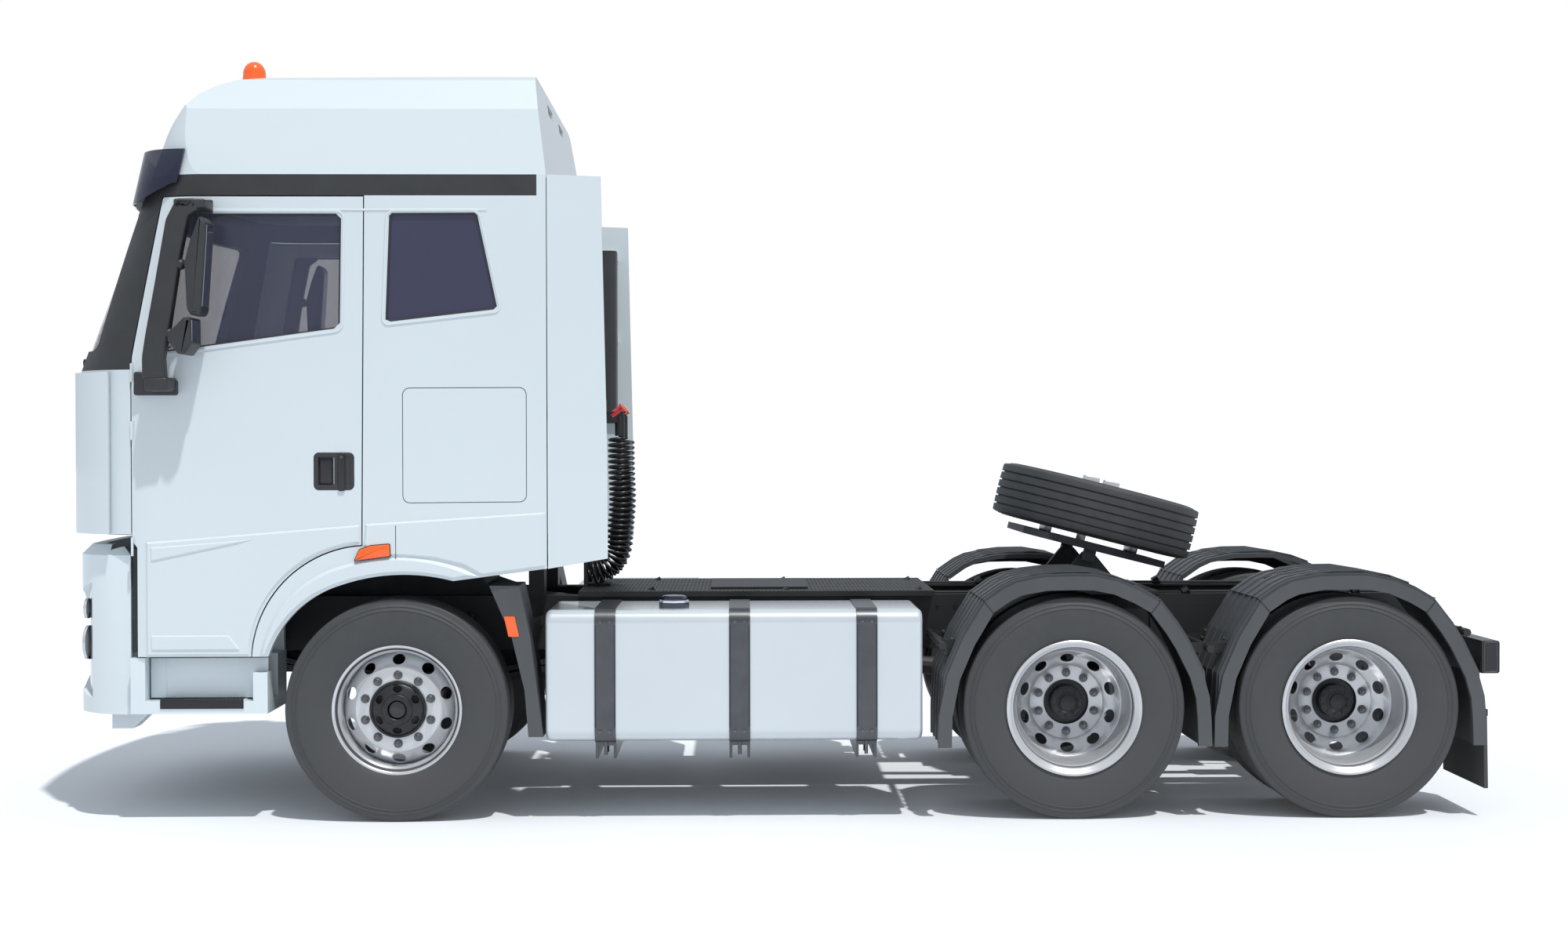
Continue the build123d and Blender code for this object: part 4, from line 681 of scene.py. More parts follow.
twin_distances = (1.082, 0.742)
for side_name, sign, axes in (("left", -1, left_axes), ("right", 1, right_axes)):
    hub_middle = Matrix.Translation((front_axle, sign * 1.065, tyre_radius)) @ axes
    body = "front_wheel_" + side_name
    tyre = lay(tyre_mesh, "tyre_front_" + side_name, hub_middle, body, tyre_rubber)
    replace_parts(tyre, "front_tyre_" + side_name)
    rim = lay(front_barrel_mesh, "disc_wheel_front_" + side_name, hub_middle, body, rim_silver)
    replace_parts(rim, "front_rim_" + side_name)
    lay(front_nuts_mesh, "nuts_front_" + side_name, hub_middle, body, nut_steel)
    lay(front_cap_mesh, "hub_cap_" + side_name, hub_middle, body, hub_black)
    lay(front_core_mesh, "hub_core_" + side_name, hub_middle, body, cast_metal)
    for axle_name in ("middle", "rear"):
        low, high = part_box(axle_name + "_tyres_" + side_name)
        axle_x = (low.x + high.x) / 2
        body = axle_name + "_wheels_" + side_name
        for place, distance in zip(("outer", "inner"), twin_distances):
            hub_middle = Matrix.Translation((axle_x, sign * distance, tyre_radius)) @ axes
            label = "_".join((axle_name, place, side_name))
            tyre = lay(tyre_mesh, "tyre_" + label, hub_middle, body, tyre_rubber)
            if place == "outer":
                rim = lay(rear_rim_mesh, "disc_wheel_" + label, hub_middle, body, rim_silver)
                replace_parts(tyre, axle_name + "_tyres_" + side_name)
                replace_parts(rim, axle_name + "_rims_" + side_name)
                lay(rear_nuts_mesh, "nuts_" + label, hub_middle, body, nut_steel)
                lay(rear_hub_mesh, "hub_" + label, hub_middle, body, hub_black)
                lay(rear_well_mesh, "hub_well_" + label, hub_middle, body, hub_black)
            else:
                lay(inner_rim_mesh, "rim_" + label, hub_middle, body, rim_silver)

spare_low, spare_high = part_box("spare_tyre")
spare_tilt = math.radians(14.3)
spare_place = Matrix.Translation((spare_low + spare_high) / 2) @ Matrix.Rotation(spare_tilt, 4, "Y")
spare = lay(tyre_mesh, "tyre_spare", spare_place, "fifth_wheel", tyre_rubber)
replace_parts(spare, "spare_tyre")

# %% [markdown]
# ## Panels and their edges
# Most small parts are flat shapes with some thickness: beads, seals, lamps and covers. Each starts as one face
# drawn from a short list of corners as seen from the left. Its corners are rounded, the face is extruded, and
# the outer edge is bevelled so that it catches the light. The right-hand twin is a mirrored copy. A mirror
# modifier would do the same, but the doors' twins ride on different hinges, so they must be two objects.

# %% Panels: outlines, slabs and frames
def grow(points, by):
    """An outline moved outward all round by a distance."""
    flat = [Vector(point) for point in points]
    area = sum(a.cross(b) for a, b in zip(flat, flat[1:] + flat[:1]))
    turn = 1 if area > 0 else -1
    moved = []
    for before, here, after in zip(flat[-1:] + flat[:-1], flat, flat[1:] + flat[:1]):
        first, second = (here - before).normalized(), (after - here).normalized()
        normals = [Vector((run.y, -run.x)) * turn for run in (first, second)]
        moved.append(tuple(here + (normals[0] + normals[1]) * (by / (1 + normals[0].dot(normals[1])))))
    return moved


def outline_face(points, side, corner):
    """A bmesh with one face, drawn as seen from the left, its corners rounded."""
    bm = bmesh.new()
    face = bm.faces.new([bm.verts.new(behind(distance, side, height)) for distance, height in points])
    if corner:
        bmesh.ops.bevel(bm, geom=face.verts[:], offset=corner, offset_type="OFFSET", affect="VERTICES",
                        segments=5, profile=0.5, material=-1)
    return bm


def thicken(bm, move, edge):
    """Extrude everything in a bmesh by a move, and round the edges that end up outside."""
    grown = bmesh.ops.extrude_face_region(bm, geom=bm.faces[:])
    outer = {item for item in grown["geom"] if isinstance(item, bmesh.types.BMVert)}
    bmesh.ops.translate(bm, verts=list(outer), vec=move)
    bmesh.ops.recalc_face_normals(bm, faces=bm.faces)
    if edge:
        rim = [item for item in bm.edges if set(item.verts) <= outer and item.calc_face_angle(0) > 0.5]
        round_edges(bm, rim, edge)
    return bm


def strip(places, thickness, drop=(0, 0, -1), edge=0.0):
    """A thin strip through pairs of places, thickened along a direction."""
    bm = bmesh.new()
    rows = [[bm.verts.new(place) for place in row] for row in places]
    for near, far in zip(rows, rows[1:]):
        bm.faces.new((near[0], near[1], far[1], far[0]))
    return thicken(bm, Vector(drop) * thickness, edge)


def slab(points, side, thickness, corner=0.0, edge=0.0):
    """A flat panel that stands out towards the left from a plane."""
    return thicken(outline_face(points, side, corner), (0, -thickness, 0), edge)


def frame_round(points, side, width, thickness, corner=0.0, edge=0.0):
    """A flat frame of even width inside an outline."""
    bm = outline_face(points, side, corner)
    inner = bm.faces[:]
    bmesh.ops.inset_region(bm, faces=inner, thickness=width, use_even_offset=True, use_boundary=True)
    bmesh.ops.delete(bm, geom=inner, context="FACES")
    return thicken(bm, (0, -thickness, 0), edge)


def three_point_centre(first, second, third):
    """The middle of the circle through three places in a plane."""
    to_second, to_third = second - first, third - first
    cross = 2 * to_second.cross(to_third)
    lift = Vector((to_third.y * to_second.length_squared - to_second.y * to_third.length_squared,
                   to_second.x * to_third.length_squared - to_third.x * to_second.length_squared))
    return first + lift / cross


def rectangle(distance, height, wide, tall):
    """The corners of an upright rectangle about a middle, seen from the left."""
    return [(distance - wide / 2, height - tall / 2), (distance + wide / 2, height - tall / 2),
            (distance + wide / 2, height + tall / 2), (distance - wide / 2, height + tall / 2)]


def rounded_box(x_range, y_range, z_range, edge=0.0, segments=3):
    """A box between limits, as distances behind the axle, places across and heights, its edges rounded."""
    bm = bmesh.new()
    bmesh.ops.create_cube(bm, size=1)
    spans = [high - low for low, high in (x_range, y_range, z_range)]
    middle = [(low + high) / 2 for low, high in (x_range, y_range, z_range)]
    bmesh.ops.scale(bm, verts=bm.verts, vec=spans)
    bmesh.ops.translate(bm, verts=bm.verts, vec=behind(*middle))
    if edge:
        round_edges(bm, bm.edges[:], edge, segments)
    return bm


def bar(start, end, radius, sides=16, end_radius=None):
    """A round bar between two places."""
    bm = bmesh.new()
    run = end - start
    turn = run.to_track_quat("Z", "Y").to_matrix().to_4x4()
    bmesh.ops.create_cone(bm, cap_ends=True, segments=sides, radius1=radius,
                          radius2=radius if end_radius is None else end_radius, depth=run.length,
                          matrix=Matrix.Translation((start + end) / 2) @ turn)
    return bm


def piece(bm, name, body, material, angle=40):
    """One finished object from a bmesh, shaded smooth up to an angle."""
    obj = link_mesh(bm, name)
    add_piece(obj, body, material)
    obj.data.set_sharp_from_angle(angle=math.radians(angle))
    return obj


def pair(bm, name, body, material, slot=None, angle=40):
    """A left-hand piece and its right-hand twin; a door's pieces ride on their own doors."""
    twin = bm.copy()
    bmesh.ops.scale(twin, verts=twin.verts, vec=(1, -1, 1))
    bmesh.ops.reverse_faces(twin, faces=twin.faces)
    return [piece(shape, name + "_" + side_name, body + "_" + side_name if body in ("door",
                                                                                    "knuckle") else body,
                  material, angle) for side_name, shape in (("left", bm), ("right", twin))]


# %% [markdown]
# ## Doors and cab sides
# The windows sit in raised beads with a dark rubber seal inside, and the sleeper's pane is tinted nearly black.
# Below come the handle in its tray, the locker's shut line and the amber marker lamp over the arch. The gaps
# between the door and its neighbours get a dark seal, as light would otherwise show at their bottom. The gap
# behind the bumper's end is filled with a dark block, which is painted shade.

# %% Doors: beads, seals and the handle
door_window = [(-1.102, 2.283), (-0.989, 2.951), (-0.250, 2.951), (-0.259, 2.398)]
rear_window = [(-0.041, 2.427), (-0.019, 2.954), (0.402, 2.956), (0.502, 2.490)]
for window, name, body in ((door_window, "door_window", "door"), (rear_window, "rear_window", "cab")):
    pair(frame_round(grow(window, 0.018), -1.2385, 0.011, 0.006, corner=0.040, edge=0.002), name + "_bead",
         body,
         paint)
    pair(frame_round(grow(window, -0.0008), -1.222, 0.008, 0.0135, corner=0.024, edge=0.002), name + "_seal",
         body,
         dark_trim)
handle_at = (-0.290, 1.708)
tray = joined([slab(rectangle(*handle_at, 0.194, 0.180), -1.222, 0.003, 0.024),
               frame_round(rectangle(*handle_at, 0.194, 0.180), -1.222, 0.022, 0.0215, 0.024, 0.005)])
pair(tray, "handle_tray", "door", dark_trim)
pair(slab(rectangle(-0.250, 1.708, 0.076, 0.152), -1.2402, 0.0012), "handle_back", "door", dark_trim)
grip = joined([slab(rectangle(-0.253, 1.704, 0.034, 0.184), -1.2405, 0.010, 0.010, 0.004),
               slab(rectangle(-0.330, 1.708, 0.060, 0.120), -1.225, 0.008, 0.012, 0.004)])
pair(grip, "handle_grip", "door", lamp_housing, "dark_trim")
pair(bar(behind(-0.252, -1.250, 1.777), behind(-0.252, -1.2525, 1.777), 0.0065), "door_lock", "door",
     nut_steel,
     "rim_silver")
for height in (1.30, 1.86, 2.14):
    pair(rounded_box((-1.268, -1.256), (-1.2385, -1.2305), (height, height + 0.09), 0.003),
         "door_hinge_cover",
         "door", paint)


# %% Doors: locker lid, marker lamp and joints
pair(slab([(-1.05, 2.961), (0.45, 2.964), (0.45, 2.976), (-1.045, 2.974)], -1.2395, 0.004, 0.003, 0.003),
     "roof_ledge", "cab", paint)
locker = [(0.040, 1.553), (0.639, 1.557), (0.639, 2.113), (0.040, 2.111)]
pair(frame_round(locker, -1.2398, 0.003, 0.0009, 0.035), "locker_joint", "cab", dark_trim)
marker = [(-0.190, 1.276), (-0.167, 1.329), (-0.114, 1.348), (-0.023, 1.355), (-0.020, 1.298)]
pair(slab(marker, -1.248, 0.014, 0.007, 0.005), "marker_lamp", "cab", orange_lens)
pair(slab(grow(marker, 0.004), -1.240, 0.0115, 0.008, 0.002), "marker_base", "cab", lamp_housing)
pair(slab(rectangle(0.007, 1.335, 0.003, 0.22), -1.2485, 0.0012), "skirt_joint", "cab", dark_trim)
arch_low, arch_middle, arch_high = (Vector((-0.697, 0.813)), Vector((-0.541, 1.178)), Vector((-0.160, 1.355)))
arch_centre = three_point_centre(arch_low, arch_middle, arch_high)
arch_radius = (arch_low - arch_centre).length
turns = [math.atan2(*(point - arch_centre).yx) for point in (arch_low, arch_high)]
arch_line = [[arch_centre + Vector((math.cos(turn), math.sin(turn))) * (arch_radius + reach) for turn in
              [turns[0] + (turns[1] - turns[0]) * step / 24 for step in range(25)]] for reach in (-0.002,
                                                                                                  0.0025)]
seals = joined([slab([tuple(point) for point in arch_line[0] + arch_line[1][::-1]], -1.2370, 0.0015),
                slab([(-0.159, 1.350), (-0.1545, 1.350), (-0.1395, 3.050), (-0.144, 3.050)], -1.2370, 0.0015),
                slab([(0.7305, 1.245), (0.7385, 1.245), (0.7385, 3.125), (0.7305, 3.125)], -1.2350, 0.0015)])
pair(seals, "shut_line_seals", "cab", lamp_housing, "dark_trim")
# painted shade: a dark block fills the gap between the bumper's end and the door, standing in for the shadow in
# it
pair(rounded_box((-1.284, -1.243), (-1.158, -1.110), (0.830, 1.335), 0.003), "bumper_gap_shade_block", "chassis",
     dark_trim)
pair(slab(grow(rear_window, -0.006), -1.2250, 0.0022, 0.024), "sleeper_pane", "cab", dark_glass)
reflector = [(0.523, 1.001), (0.575, 1.001), (0.597, 0.902), (0.545, 0.902)]
pair(slab(reflector, -1.2115, 0.005, 0.006, 0.002), "mudguard_reflector", "chassis", orange_lens)

# %% [markdown]
# ## Steps
# The tread in each step well is a grate: a dark tray crossed by upright fins, so a boot finds an edge.

# %% Steps: grated treads
fins = [rounded_box((-1.131 + 0.0165 * row, -1.124 + 0.0165 * row), (-1.226, -1.015), (0.598, 0.606), 0.0015,
                    1)
        for row in range(24)]
lips = [rounded_box((-1.134, -0.732), (-1.2315, -1.2275), (0.560, 0.606), 0.002, 2),
        rounded_box((-1.134, -0.732), (-1.015, -1.008), (0.598, 0.606), 0.002, 2)]
pair(joined(fins + lips), "step_tread", "chassis", walkway_metal)
pair(joined([rounded_box((-1.20, -0.63), (-1.149, -1.141), (0.605, 0.80), 0.003),
             rounded_box((-1.128, -1.122), (-1.1505, -1.148), (0.61, 0.80), 0.001,
                         1)]), "step_back", "chassis",
     bumper_paint)

# %% [markdown]
# ## Mirrors
# Each side has a tall mirror and a small one on a bent arm. The solids stand in for them with plain blocks, so
# they are replaced whole: a bevelled arm, two shells with soft edges, a dark glass in each shell's rear face,
# and a ball joint where each shell meets the arm.

# %% Mirrors: arm, shells and glasses
arm_outline = [(-0.905, 3.004), (-0.995, 3.004), (-1.046, 2.904), (-1.100, 2.600), (-1.146, 2.355),
               (-1.162, 2.250), (-1.160, 2.150), (-1.050, 2.150), (-1.056, 2.250), (-1.028, 2.400),
               (-0.975, 2.740), (-0.938, 2.920), (-0.890, 2.950)]
arm_parts = [slab(arm_outline, -1.370, 0.050, 0.012, 0.012),
             rounded_box((-1.008, -0.862), (-1.420, -1.243), (2.957, 3.002), 0.010),
             rounded_box((-1.150, -1.040), (-1.420, -1.243), (2.092, 2.158), 0.012),
             slab([(-1.242, 2.075), (-1.242, 2.188), (-1.200, 2.188), (-1.150, 2.150), (-1.035, 2.150),
                   (-1.035, 2.075)], -1.2425, 0.028, 0.012, 0.006),
             rounded_box((-1.008, -0.862), (-1.262, -1.2425), (2.945, 3.015), 0.008)]
tall_shell = [(-0.862, 2.914), (-0.842, 2.886), (-0.846, 2.793), (-0.868, 2.470), (-0.882, 2.449),
              (-0.918, 2.449), (-0.936, 2.480), (-0.946, 2.700), (-0.916, 2.812), (-0.880, 2.910)]
small_shell = [(-0.912, 2.438), (-0.910, 2.312), (-0.946, 2.262), (-0.976, 2.266), (-1.026, 2.330),
               (-1.019, 2.366), (-0.948, 2.438)]
shells = [slab(tall_shell, -1.320, 0.150, 0.006, 0.016), slab(small_shell, -1.300, 0.185, 0.008, 0.018)]
for start, end in (((-1.030, 2.693), (-0.932, 2.693)), ((-1.076, 2.366), (-1.000, 2.366))):
    ball = bmesh.new()
    bmesh.ops.create_uvsphere(ball, u_segments=20, v_segments=12, radius=0.027,
                              matrix=Matrix.Translation(behind((start[0] + end[0]) / 2, -1.395, start[1])))
    arm_parts += [ball, bar(behind(start[0], -1.395, start[1]), behind(end[0], -1.395, end[1]), 0.016)]
for obj, side_name in zip(pair(joined(arm_parts), "mirror_arm", "door", dark_trim),
                          ("left", "right")):
    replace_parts(obj, "mirrors_" + side_name)
pair(joined(shells), "mirror_shell", "door", dark_trim, "dark_trim", 60)
# each glass leans as its shell's rear face does
glasses = [slab([(-0.8665, 2.490), (-0.8635, 2.490), (-0.8435, 2.790), (-0.8395, 2.875), (-0.8425, 2.875),
                 (-0.8465, 2.790)], -1.338, 0.114),
           slab([(-0.9120, 2.325), (-0.9085, 2.325), (-0.9085, 2.425), (-0.9120, 2.425)], -1.318, 0.149)]
pair(joined(glasses), "mirror_glass", "door", mirror_glass)

# %% [markdown]
# ## Front
# The front is bowed, so anything that lies on it follows the same bow. One function gives how far back the
# bow has come at a place across the truck. The grille's slots get a dark mesh, the bumper gets lamps, a lower
# grille and a blank plate, and the wipers rest along the foot of the windscreen.

# %% Front: the bow, grille and bars
bow_radius = 5.76


def bow_back(side):
    """How far the front skin lies behind its middle line at a place across the truck."""
    return bow_radius - math.sqrt(bow_radius ** 2 - side ** 2)


def bowed_strip(front, half_width, foot, head, thickness, edge=0.0, columns=36):
    """A strip that follows the bow, facing forward, thickened rearward."""
    sides = [half_width * (2 * step / columns - 1) for step in range(columns + 1)]
    return strip([[behind(front + bow_back(side), side, height) for height in (foot, head)]
                  for side in sides],
                 thickness, (-1, 0, 0), edge)


grille_backs = [bowed_strip(-1.6785, 0.742, 1.490 - 0.034 + 0.105 * row, 1.490 + 0.034 + 0.105 * row, 0.001)
                for row in range(5)]
piece(joined(grille_backs), "grille_mesh", "flap", dark_trim)
grille_bars = []
for row in range(5):
    middle = 1.490 + 0.105 * row
    grille_bars.append(bowed_strip(-1.6800, 0.738, middle - 0.004, middle + 0.004, 0.006, 0.002))
    for column in range(-29, 30):
        side = column * 0.025
        grille_bars.append(rounded_box((-1.6845 + bow_back(side), -1.6790 + bow_back(side)),
                                       (side - 0.0018, side + 0.0018), (middle - 0.034, middle + 0.034)))
piece(joined(grille_bars), "grille_bars", "flap", lamp_housing)
# painted shade: a thin dark strip along the flap's crease stands in for the shade in the fold
piece(bowed_strip(-1.6895, 0.80, 2.030, 2.036, 0.0005), "flap_crease_shade_line", "flap", dark_trim)

# %% Front: headlamps, fog lamps, lower grille and plate
def bumper_face(side):
    """How far behind the front axle, as a negative number, the bumper's front lies at a place across."""
    return -1.650 + side ** 2 / 14.46


lamp_rims, lamp_glass = [], []
for side, height, radius in ((0.790, 0.800, 0.062), (0.960, 0.860, 0.084), (0.985, 1.030, 0.050)):
    face = bumper_face(side) + 0.034
    lean = behind(face, -side, height)
    turn = Matrix.Rotation(math.radians(-90), 4, "Y")
    bowl = spun([(radius, -0.002), (radius, 0.012), (radius - 0.006, 0.014), (radius - 0.010, 0.004),
                 (radius * 0.5, 0.0), (0.0, -0.001)], 40, closed=False)
    dome = spun([(0.0, 0.012), (radius * 0.5, 0.0105), (radius - 0.011, 0.005)], 40, closed=False)
    for shape, parts in ((bowl, lamp_rims), (dome, lamp_glass)):
        parts.append(moved(shape, Matrix.Translation(lean) @ turn))
pair(joined(lamp_rims), "headlamp_reflector", "chassis", rim_silver, "lamp_housing")
pair(joined(lamp_glass), "headlamp_dome", "chassis", clear_glass, "lamp_housing")
lower_bars = []
for row in range(5):
    foot = 0.640 + 0.075 * row
    sides = [0.56 * (step / 16 - 1) for step in range(33)]
    lower_bars.append(strip([[behind(bumper_face(side) + 0.001, side, height) for height in (foot, foot
                                                                                             + 0.050)]
                             for side in sides], 0.0025, (-1, 0, 0)))
piece(joined(lower_bars), "lower_grille", "chassis", dark_trim)
fog = []
for side in (-0.72, 0.72):
    face = bumper_face(side)
    ring = spun([(0.052, -0.004), (0.052, 0.010), (0.046, 0.012), (0.042, 0.003), (0.0, 0.001)], 36,
                closed=False)
    fog.append(moved(ring, Matrix.Translation(behind(face, side, 0.595))
                     @ Matrix.Rotation(math.radians(-90), 4, "Y")))
piece(joined(fog), "fog_lamps", "chassis", rim_silver)
piece(rounded_box((-1.658, -1.649), (-0.18, 0.18), (1.080, 1.190), 0.003), "plate_panel", "chassis",
      bumper_paint)

# %% Front: wipers
wiper_parts = []
for foot_side, tip_side in ((-0.86, -0.30), (-0.10, 0.46), (0.62, 1.02)):
    foot = behind(-1.655 + bow_back(foot_side), foot_side, 2.245)
    tip = behind(-1.628 + bow_back(tip_side), tip_side, 2.345)
    wiper_parts += [bar(foot, tip, 0.008, 10), bar(foot - Vector((0.012, 0, 0)), foot
                                                   + Vector((0.040, 0, 0)), 0.020, 16)]
    along_blade = (tip - foot).normalized()
    wiper_parts.append(bar(tip - along_blade * 0.34 + Vector((0.012, 0, 0.012)),
                           tip + along_blade * 0.20 + Vector((0.010, 0, 0.014)), 0.006, 8))
piece(joined(wiper_parts), "wipers", "cab", lamp_housing)

# %% [markdown]
# ## Roof, visor and rear of the cab
# The beacon stands on a dark base. Behind,
# the ventilators get their slats.

# %% Roof: beacon base, visor lamps and ventilators
beacon_low, beacon_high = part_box("beacon")
beacon_middle = (beacon_low + beacon_high) / 2
base = spun([(0.060, 0.0), (0.0725, 0.0), (0.0725, 0.014), (0.069, 0.019), (0.060, 0.019)], 40)
beacon_top = Vector((beacon_middle.x, beacon_middle.y, beacon_high.z))
piece(moved(base, Matrix.Translation(beacon_top - Vector((0, 0, 0.140)))), "beacon_base", "cab",
      lamp_housing)
lens = spun([(0.062, 0.0), (0.0625, 0.010), (0.0595, 0.014), (0.060, 0.022), (0.058, 0.026), (0.059, 0.034),
             (0.057, 0.038), (0.058, 0.046), (0.056, 0.050), (0.0565, 0.060), (0.054, 0.076), (0.046, 0.094),
             (0.034, 0.108), (0.018, 0.1165), (0.0, 0.119)], 40, closed=False)
moved(lens, Matrix.Translation(beacon_top - Vector((0, 0, 0.1195))))
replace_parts(piece(lens, "beacon_lens", "cab", orange_lens), "beacon")
slats = [rounded_box((0.648, 0.658), (side - 0.146, side + 0.146), (3.546 + 0.011 * row, 3.551
                                                                    + 0.011 * row), 0.001, 1)
         for side in (-0.33, 0.33) for row in range(5)]
piece(joined(slats), "roof_vents", "cab", dark_trim)
visor_lamps = [rounded_box((-1.398 + 0.085 * (side / 0.9) ** 2, -1.372 + 0.085 * (side / 0.9) ** 2),
                           (side - 0.055, side + 0.055), (3.205, 3.235), 0.006) for side in (-0.62, -0.2,
                                                                                             0.2, 0.62)]
piece(joined(visor_lamps), "visor_lamps", "cab", orange_lens)


# %% [markdown]
# ## Tank, straps and fenders
# The tank gets its cap, and the straps their bolts and a dark strip along each edge, which is painted shade.
# The fenders show the joints between their three sections, ridges that run over the crown and the bolts that
# hold them.

# %% Tank: cap, strap bolts and painted shade along the straps' edges
cap_middle = behind(1.345, -1.084, 1.062)
cap = spun([(0.0, 0.030), (0.052, 0.030), (0.060, 0.026), (0.064, 0.018), (0.064, 0.004), (0.070, 0.0),
            (0.074, -0.006), (0.074, -0.030), (0.0, -0.030)], 8, closed=False)
moved(cap, Matrix.Translation(cap_middle))
piece(cap, "tank_cap", "chassis", visor_plastic, 30)
strap_bolts = []
for strap in (0.962, 1.616, 2.236):
    for offset in (0.028, 0.074):
        strap_bolts.append(bar(behind(strap + offset, -1.2265, 0.972), behind(strap + offset, -1.2345,
                                                                              0.972), 0.0085, 6))
        strap_bolts.append(bar(behind(strap + offset, -1.2265, 0.440), behind(strap + offset, -1.2345,
                                                                              0.440), 0.0085, 6))
    for side in (-1.150, -1.05):
        strap_bolts.append(bar(behind(strap + 0.051, side, 0.384), behind(strap + 0.051, side, 0.318), 0.009,
                               8))
piece(joined(strap_bolts), "strap_bolts", "chassis", nut_steel)
# painted shade: a dark strip along each edge of every strap
edges = [rounded_box((strap - 0.0035, strap + 0.0035), (-1.2285, -1.2265), (0.46, 0.96), 0.001, 1)
         for start in (0.962, 1.616, 2.236) for strap in (start + 0.004, start + 0.098)]
piece(joined(edges), "strap_edge_shade", "chassis", dark_trim)

# %% Fenders: joints, ridges and bolts
def round_fender(table, low_side, high_side, lift, thickness, width):
    """A thin strip over a fender between two places across, following a table of (distance, height)."""
    return strip([[behind(distance, side, height + lift) for side in (low_side, high_side)]
                  for distance, height in table], thickness, edge=width)


fender_parts, fender_bolts = [], []
for axle in (3.300, 4.650):
    for along_x, rise, lean in ((-0.440, 1.064, 0.75), (0.4145, 1.062, -0.78)):
        # the joint runs down the flange and over the sheet
        foot = behind(axle + along_x * 0.905, -1.2405, rise - 0.050)
        head = behind(axle + along_x, -1.2405, rise)
        fender_parts.append(bar(foot, head, 0.0022, 6))
        side_end = behind(axle + along_x * 1.021, -0.62, rise + 0.0155)
        fender_parts.append(bar(behind(axle + along_x * 1.021, -1.213, rise + 0.0155), side_end, 0.0026, 6))
    for along_x, rise in ((-0.600, 0.800), (-0.585, 0.835), (-0.570, 0.870)):
        for side in (-0.66, -1.09):
            fender_bolts.append(bar(behind(axle + along_x - 0.012, side, rise),
                                    behind(axle + along_x - 0.024, side, rise + 0.004), 0.009, 6))
pair(joined(fender_parts), "fender_joints", "chassis", dark_trim, "fender_plastic")
pair(joined(fender_bolts), "fender_bolts", "chassis", nut_steel, "fender_plastic")
ridge_parts = []
for axle in (3.300, 4.650):
    for row in range(9):
        side = -0.655 - 0.065 * row
        crown = [(axle - 0.33 + 0.012 * (row % 3), 1.152), (axle - 0.20, 1.191), (axle - 0.08, 1.205),
                 (axle + 0.06, 1.207), (axle + 0.20, 1.184), (axle + 0.30 - 0.02 * (row % 2), 1.147)]
        ridge_parts.append(round_fender(crown, side, side - 0.018, 0.008, 0.010, 0.003))
pair(joined(ridge_parts), "fender_ridges", "chassis", fender_plastic)

# %% [markdown]
# ## Chassis rear
# The tail lamps show red, amber and white fields. The walkway is chequered, and the wires, springs, brake
# chambers and shock absorbers fill the frame as they do on a working truck.

# %% Rear: tail lamps, mudflap trim and rail ends
tail_parts = {"red": [], "amber": [], "white": []}
for kind, low_side, high_side in (("red", -1.180, -1.060), ("amber", -1.055, -0.965),
                                  ("white", -0.960, -0.890),
                                  ("red", -0.885, -0.800)):
    tail_parts[kind].append(rounded_box((5.3935, 5.3995), (low_side, high_side), (0.716, 0.854), 0.003))
for kind, material in (("red", red_lens), ("amber", orange_lens), ("white", lamp_lens)):
    pair(joined(tail_parts[kind]), "tail_lens_" + kind, "chassis", material, "lamp_housing")
pair(frame_round(rectangle(5.356, 0.785, 0.066, 0.150), -1.190, 0.004, 0.0015, 0.008, 0.001),
     "tail_lamp_edge",
     "chassis", strap_steel, "lamp_housing")
pair(rounded_box((5.3345, 5.3385), (-1.20, -0.61), (0.146, 0.166), 0.001), "mudflap_weight", "chassis",
     strap_steel,
     "rubber")
rail_bolts = []
for row in range(46):
    for height in (0.815, 0.995):
        rail_bolts.append(bar(behind(0.90 + 0.095 * row, -0.4285, height), behind(0.90 + 0.095 * row,
                                                                                  -0.4385, height), 0.010, 6))
pair(joined(rail_bolts), "rail_bolts", "chassis", chassis_paint)

# %% Rear: chequered walkway
chequers = []
for column in range(92):
    for row in range(13):
        lean = 0.6 if (row + column) % 2 else -0.6
        bm = bmesh.new()
        bmesh.ops.create_cone(bm, cap_ends=True, segments=6, radius1=0.010, radius2=0.006, depth=0.002)
        place = Matrix.Translation(behind(0.845 + 0.02 * column, -0.492 + 0.082 * row, 1.0728))
        chequers.append(moved(bm, place @ Matrix.Rotation(lean, 4, "Z") @ Matrix.Diagonal((1.0, 0.34, 1, 1))))
piece(joined(chequers), "walkway_chequers", "chassis", walkway_metal)

# %% Underneath: springs, shock absorbers, brake chambers and pipes
def leaf(points, side, thickness):
    """One leaf of a spring: a bowed strip about a side, as (distance, height) points."""
    return strip([[behind(distance, side + reach, height) for reach in (-0.041, 0.041)]
                  for distance, height in points], thickness)


leaves = [leaf([(3.975 - reach, 0.768 - 0.085 * (reach / 0.675) ** 2) for reach in
                [0.66 * (1 - step / 6) for step in range(13)]], -0.485, 0.013)]
leaves += [leaf([(reach, 0.632 + 0.014 * row + 0.10 * (reach / 0.80) ** 2) for reach in
                 [(0.80 - 0.06 * row) * (step / 6 - 1)
                  for step in range(13)]], -0.385, 0.012) for row in range(2)]
pair(joined(leaves), "spring_leaves", "chassis", cast_metal, "chassis_paint")
chambers = []
for axle in (3.300, 4.650):
    start = behind(axle - 0.20, -0.30, 0.66)
    waist, back, rod_end = [start + Vector(step) for step in ((-0.13, 0, 0.03), (-0.24, 0, 0.055),
                                                              (0.14, 0, -0.03))]
    chambers += [bar(start, waist, 0.085, 24), bar(waist, back, 0.072, 24), bar(start, rod_end, 0.012, 10)]
pair(joined(chambers), "brake_chambers", "chassis", cast_metal)
